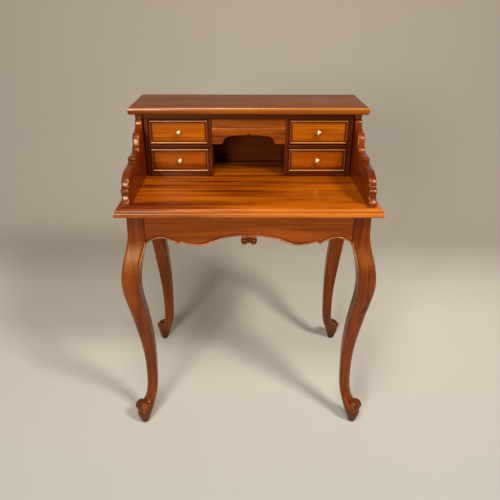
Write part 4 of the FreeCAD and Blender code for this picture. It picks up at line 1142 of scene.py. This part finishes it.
# Under the bead and in the cove the front is darker: partly a darker toner at the panel's edges, partly
# painted shade in the recess.
FRONT_SHADE_AND_TONER = 0.9
# The knob's stain gathers on its rose and neck: within this radius and below this height.
KNOB_STAIN = 0.6
KNOB_STAIN_RADIUS = 4 * MM
KNOB_STAIN_HEIGHT = 7 * MM


def front_profile(face, rear, bead_inner, cove_width, cove_depth):
    """Face of a drawer front from its rear edge: flat under the bead, then a cove that rises to the field.

    The cove is a quarter of an ellipse, steep at the bead and level where it meets the field.
    """
    cove = ellipse((bead_inner + cove_width, face + cove_depth), (-cove_width, -cove_depth), 0, 90, 12)
    return np.concatenate([[(0, rear), (0, face), (bead_inner - 0.3 * MM, face)], cove])


def bead_profile(width, face, front):
    """Closed section of the cockbead as (inset, level): an astragal that stands on the drawer front."""
    half = width / 2
    crown = ellipse((half, front + half), (-half, -half), 0, 180, 13)
    return np.concatenate([[(0, face)], crown, [(width, face)]])


def mitred_strips(corners, section, width):
    """Four strips round a rectangle, a hair apart at the mitres, with a painted highlight where they face
    upwards and painted shade where they face down.

    Corners holds a ring for each point of the section. The strips are the lower, right, upper and left.
    """
    surface = Surface()
    inner = section[:, 0] / width
    crown = np.sin(math.pi * inner)
    shades = (0.3 - 1.3 * inner, 0.3 - 0.5 * crown, 0.6 * inner - 0.8 * crown, 0.3 - 0.5 * crown)
    for number, shade in enumerate(shades):
        strip = corners[:, [number, (number + 1) % 4]]
        middle = strip.mean(axis=1, keepdims=True)
        strip = middle + (strip - middle) * MITRE_SHARE
        surface.grid(np.swapaxes(strip, 0, 1), tube=True, shade=shade)
    return surface


def knob_profile(projection):
    """Section of the knob as (radius, height): rose, neck and flattened ball."""
    rose, neck, ball, half = 6 * MM, 3 * MM, 8 * MM, 5.25 * MM
    return np.concatenate([
        [(0, -MM), (rose, -MM), (rose, 0.5 * MM)],
        ellipse((rose - MM, 0.5 * MM), (MM, MM), 20, 90, 4),
        ellipse((neck + 1.9 * MM, 4 * MM), (-1.9 * MM, 2.5 * MM), -80, 40, 8),
        ellipse((0, projection - half), (ball, half), -58, 90, 22),
    ])


def rings_upright(low, high, profile):
    """Rectangular rings in the upright plane of a drawer front, with the level of each along Y."""
    return rings((low.x, low.z), (high.x, high.z), profile)[..., (0, 2, 1)]


class DESK_OT_drawers(bpy.types.Operator):
    """The four drawers: fronts, cockbeads, knobs and lining"""

    bl_idname = "desk.drawers"
    bl_label = "Drawers"

    def execute(self, context):
        shapes = context.scene.desk_shapes
        finishes = context.scene.desk_finishes
        lining = lining_wood("lining_wood", finishes.lining)
        brass = metal("knob_brass", finishes.brass, 0.36)
        bead_wood = mahogany("bead_wood", finishes.bead, "X", 67.7, 0.4)
        for number, (row, side) in enumerate((row, side) for row in ROW_SHADE_TINTS for side in SIDES):
            body = f"drawer_{row}_{side}"
            # The lower row's darker tint is painted shade.
            colour = tinted(finishes.front, ROW_SHADE_TINTS[row])
            wood = mahogany(body + "_wood", colour, "X", 7.9 * number + 71.3, 1.5, 0.35)
            low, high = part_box(body + "_front")
            bead_low, bead_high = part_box(body + "_cockbead")
            inner = bead_low.x - low.x + COCKBEAD_WIDTH
            profile = front_profile(low.y, high.y, inner, shapes.cove_width, shapes.cove_depth)
            # The flat under the bead and the cove darken: toner and painted shade.
            cove = 1 - np.linspace(0, 1, len(profile) - 3) ** 1.5
            shade = np.concatenate([[FRONT_SHADE_AND_TONER] * 3, cove])[:, None]
            front = rings_upright(low, high, profile)
            surface = Surface().grid(front, tube=True, shade=shade)
            build(body + "_front_panel", surface, wood, body + "_front", body)
            section = bead_profile(COCKBEAD_WIDTH, low.y + COCKBEAD_SINK, bead_low.y)
            surface = mitred_strips(rings_upright(bead_low, bead_high, section), section, COCKBEAD_WIDTH)
            build(body + "_bead_moulded", surface, bead_wood, body + "_cockbead", body)
            knob_low, knob_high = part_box(body + "_knob")
            middle = (knob_low + knob_high) / 2
            profile = knob_profile(low.y - knob_low.y)
            radius, height = profile.T
            shade = KNOB_STAIN * ((radius < KNOB_STAIN_RADIUS) & (height < KNOB_STAIN_HEIGHT))
            surface = Surface().turned(profile, ((middle.x, low.y, middle.z), *FACING), 56, shade)
            build(body + "_knob_turned", surface, brass, body + "_knob", body)
            dress([f"{body}_{part}" for part in ("side_left", "side_right", "back", "bottom")], lining)
        return {"FINISHED"}


class DESK_OT_screws(bpy.types.Operator):
    """The steel screws"""

    bl_idname = "desk.screws"
    bl_label = "Screws"

    def execute(self, context):
        steel = metal("screw_steel_finish", context.scene.desk_finishes.steel, 0.3)
        dress(["top_screws", "gallery_screws", "case_screws"], steel)
        return {"FINISHED"}


# ---- Stage

IMAGE_WIDTH = 500
SENSOR = 36.0
FOCAL_PIXELS = 520.0
CAMERA_PLACE = (-0.0090, -1.5384, 1.2554)
CAMERA_PITCH = 0.4506
CAMERA_YAW = -0.0089
CAMERA_ROLL = 0.0030
LAMP_TARGET = (0, 0, 0.6)
LAMPS = (
    ("key", (1.60, -1.75, 2.85), 0.6, 71),
    ("front", (-1.00, -2.90, 1.50), 0.7, 52),
    ("overhead", (-0.20, -1.30, 2.95), 0.8, 29),
)
ROOM_COLOUR = (206, 204, 200)
ROOM_STRENGTH = 0.22
# The sweep of paper: its near edge, the wall, the radius between them, the wall's top and half its width.
SWEEP_NEAR, SWEEP_WALL, SWEEP_BEND, SWEEP_TOP, SWEEP_HALF = -2.2, 2.6, 1.4, 3.6, 9.0


class DESK_OT_stage(bpy.types.Operator):
    """The floor and backdrop, the lamps and the camera"""

    bl_idname = "desk.stage"
    bl_label = "Stage"

    def execute(self, context):
        self.add_backdrop(context)
        self.add_lamps()
        self.add_camera(context)
        context.scene.view_settings.view_transform = "Standard"
        return {"FINISHED"}

    def add_backdrop(self, context):
        """A sweep of paper: level floor, a quarter circle and an upright wall, carried across."""
        finishes = context.scene.desk_finishes
        curve = ellipse((SWEEP_WALL - SWEEP_BEND, SWEEP_BEND), (SWEEP_BEND, SWEEP_BEND), -90, 0, 40)
        profile = np.concatenate([[(SWEEP_NEAR, 0)], curve, [(SWEEP_WALL, SWEEP_TOP)]])
        across = np.linspace(-SWEEP_HALF, SWEEP_HALF, 3)
        surface = Surface().grid(np.stack([np.insert(profile, 0, x, axis=1) for x in across]))
        mesh = bpy.data.meshes.new("backdrop")
        mesh.from_pydata(np.concatenate(surface.points).tolist(), [], surface.faces)
        mesh.shade_smooth()
        mesh.materials.append(paper("backdrop_paper", finishes.backdrop, finishes.painted_light_band, finishes.distance))
        backdrop = linked("backdrop", mesh)
        world = bpy.data.worlds.new("studio")
        world.use_nodes = True
        background = world.node_tree.nodes["Background"]
        background.inputs["Color"].default_value = (*display_to_linear(ROOM_COLOUR), 1)
        background.inputs["Strength"].default_value = ROOM_STRENGTH
        context.scene.world = world

    def add_lamps(self):
        """Square soft lamps, each turned to the middle of the desk."""
        for name, place, size, power in LAMPS:
            lamp = bpy.data.lights.new(name, "AREA")
            lamp.size = size
            lamp.energy = power
            holder = linked(name, lamp)
            holder.location = place
            holder.rotation_mode = "QUATERNION"
            holder.rotation_quaternion = (Vector(place) - Vector(LAMP_TARGET)).to_track_quat("Z", "Y")

    def add_camera(self, context):
        """A level camera, pitched down and turned a little, at eye height in front of the desk."""
        camera = bpy.data.cameras.new("camera")
        camera.sensor_width = SENSOR
        camera.lens = FOCAL_PIXELS * SENSOR / IMAGE_WIDTH
        holder = linked("camera", camera)
        turn = Matrix.Rotation(CAMERA_YAW, 4, "Z")
        pitch = Matrix.Rotation(math.pi / 2 - CAMERA_PITCH, 4, "X")
        roll = Matrix.Rotation(CAMERA_ROLL, 4, "Z")
        holder.matrix_world = Matrix.Translation(CAMERA_PLACE) @ turn @ pitch @ roll
        context.scene.camera = holder


# ---- Add-on


class DESK_PT_panel(bpy.types.Panel):
    """Lists the desk's pieces in the sidebar"""

    bl_idname = "DESK_PT_panel"
    bl_label = "Bonheur du jour"
    bl_space_type = "VIEW_3D"
    bl_region_type = "UI"
    bl_category = "Desk"

    def draw(self, context):
        for operator in OPERATORS:
            self.layout.operator(operator.bl_idname)
        for group in (context.scene.desk_shapes, context.scene.desk_finishes):
            column = self.layout.column()
            for name in group.__annotations__:
                column.prop(group, name)


OPERATORS = (
    DESK_OT_stage,
    DESK_OT_boards,
    DESK_OT_legs,
    DESK_OT_aprons,
    DESK_OT_gallery,
    DESK_OT_case,
    DESK_OT_valance,
    DESK_OT_drawers,
    DESK_OT_screws,
)
CLASSES = (DeskShapes, DeskFinishes, *OPERATORS, DESK_PT_panel)


def register():
    """Add the settings, operators and panel to the program."""
    for item in CLASSES:
        bpy.utils.register_class(item)
    bpy.types.Scene.desk_shapes = PointerProperty(type=DeskShapes)
    bpy.types.Scene.desk_finishes = PointerProperty(type=DeskFinishes)


def unregister():
    """Take them away again."""
    del bpy.types.Scene.desk_finishes
    del bpy.types.Scene.desk_shapes
    for item in reversed(CLASSES):
        bpy.utils.unregister_class(item)


def main():
    """Build the whole desk."""
    register()
    for operator in OPERATORS:
        group, name = operator.bl_idname.split(".")
        getattr(getattr(bpy.ops, group), name)()


if __name__ == "__main__":
    main()
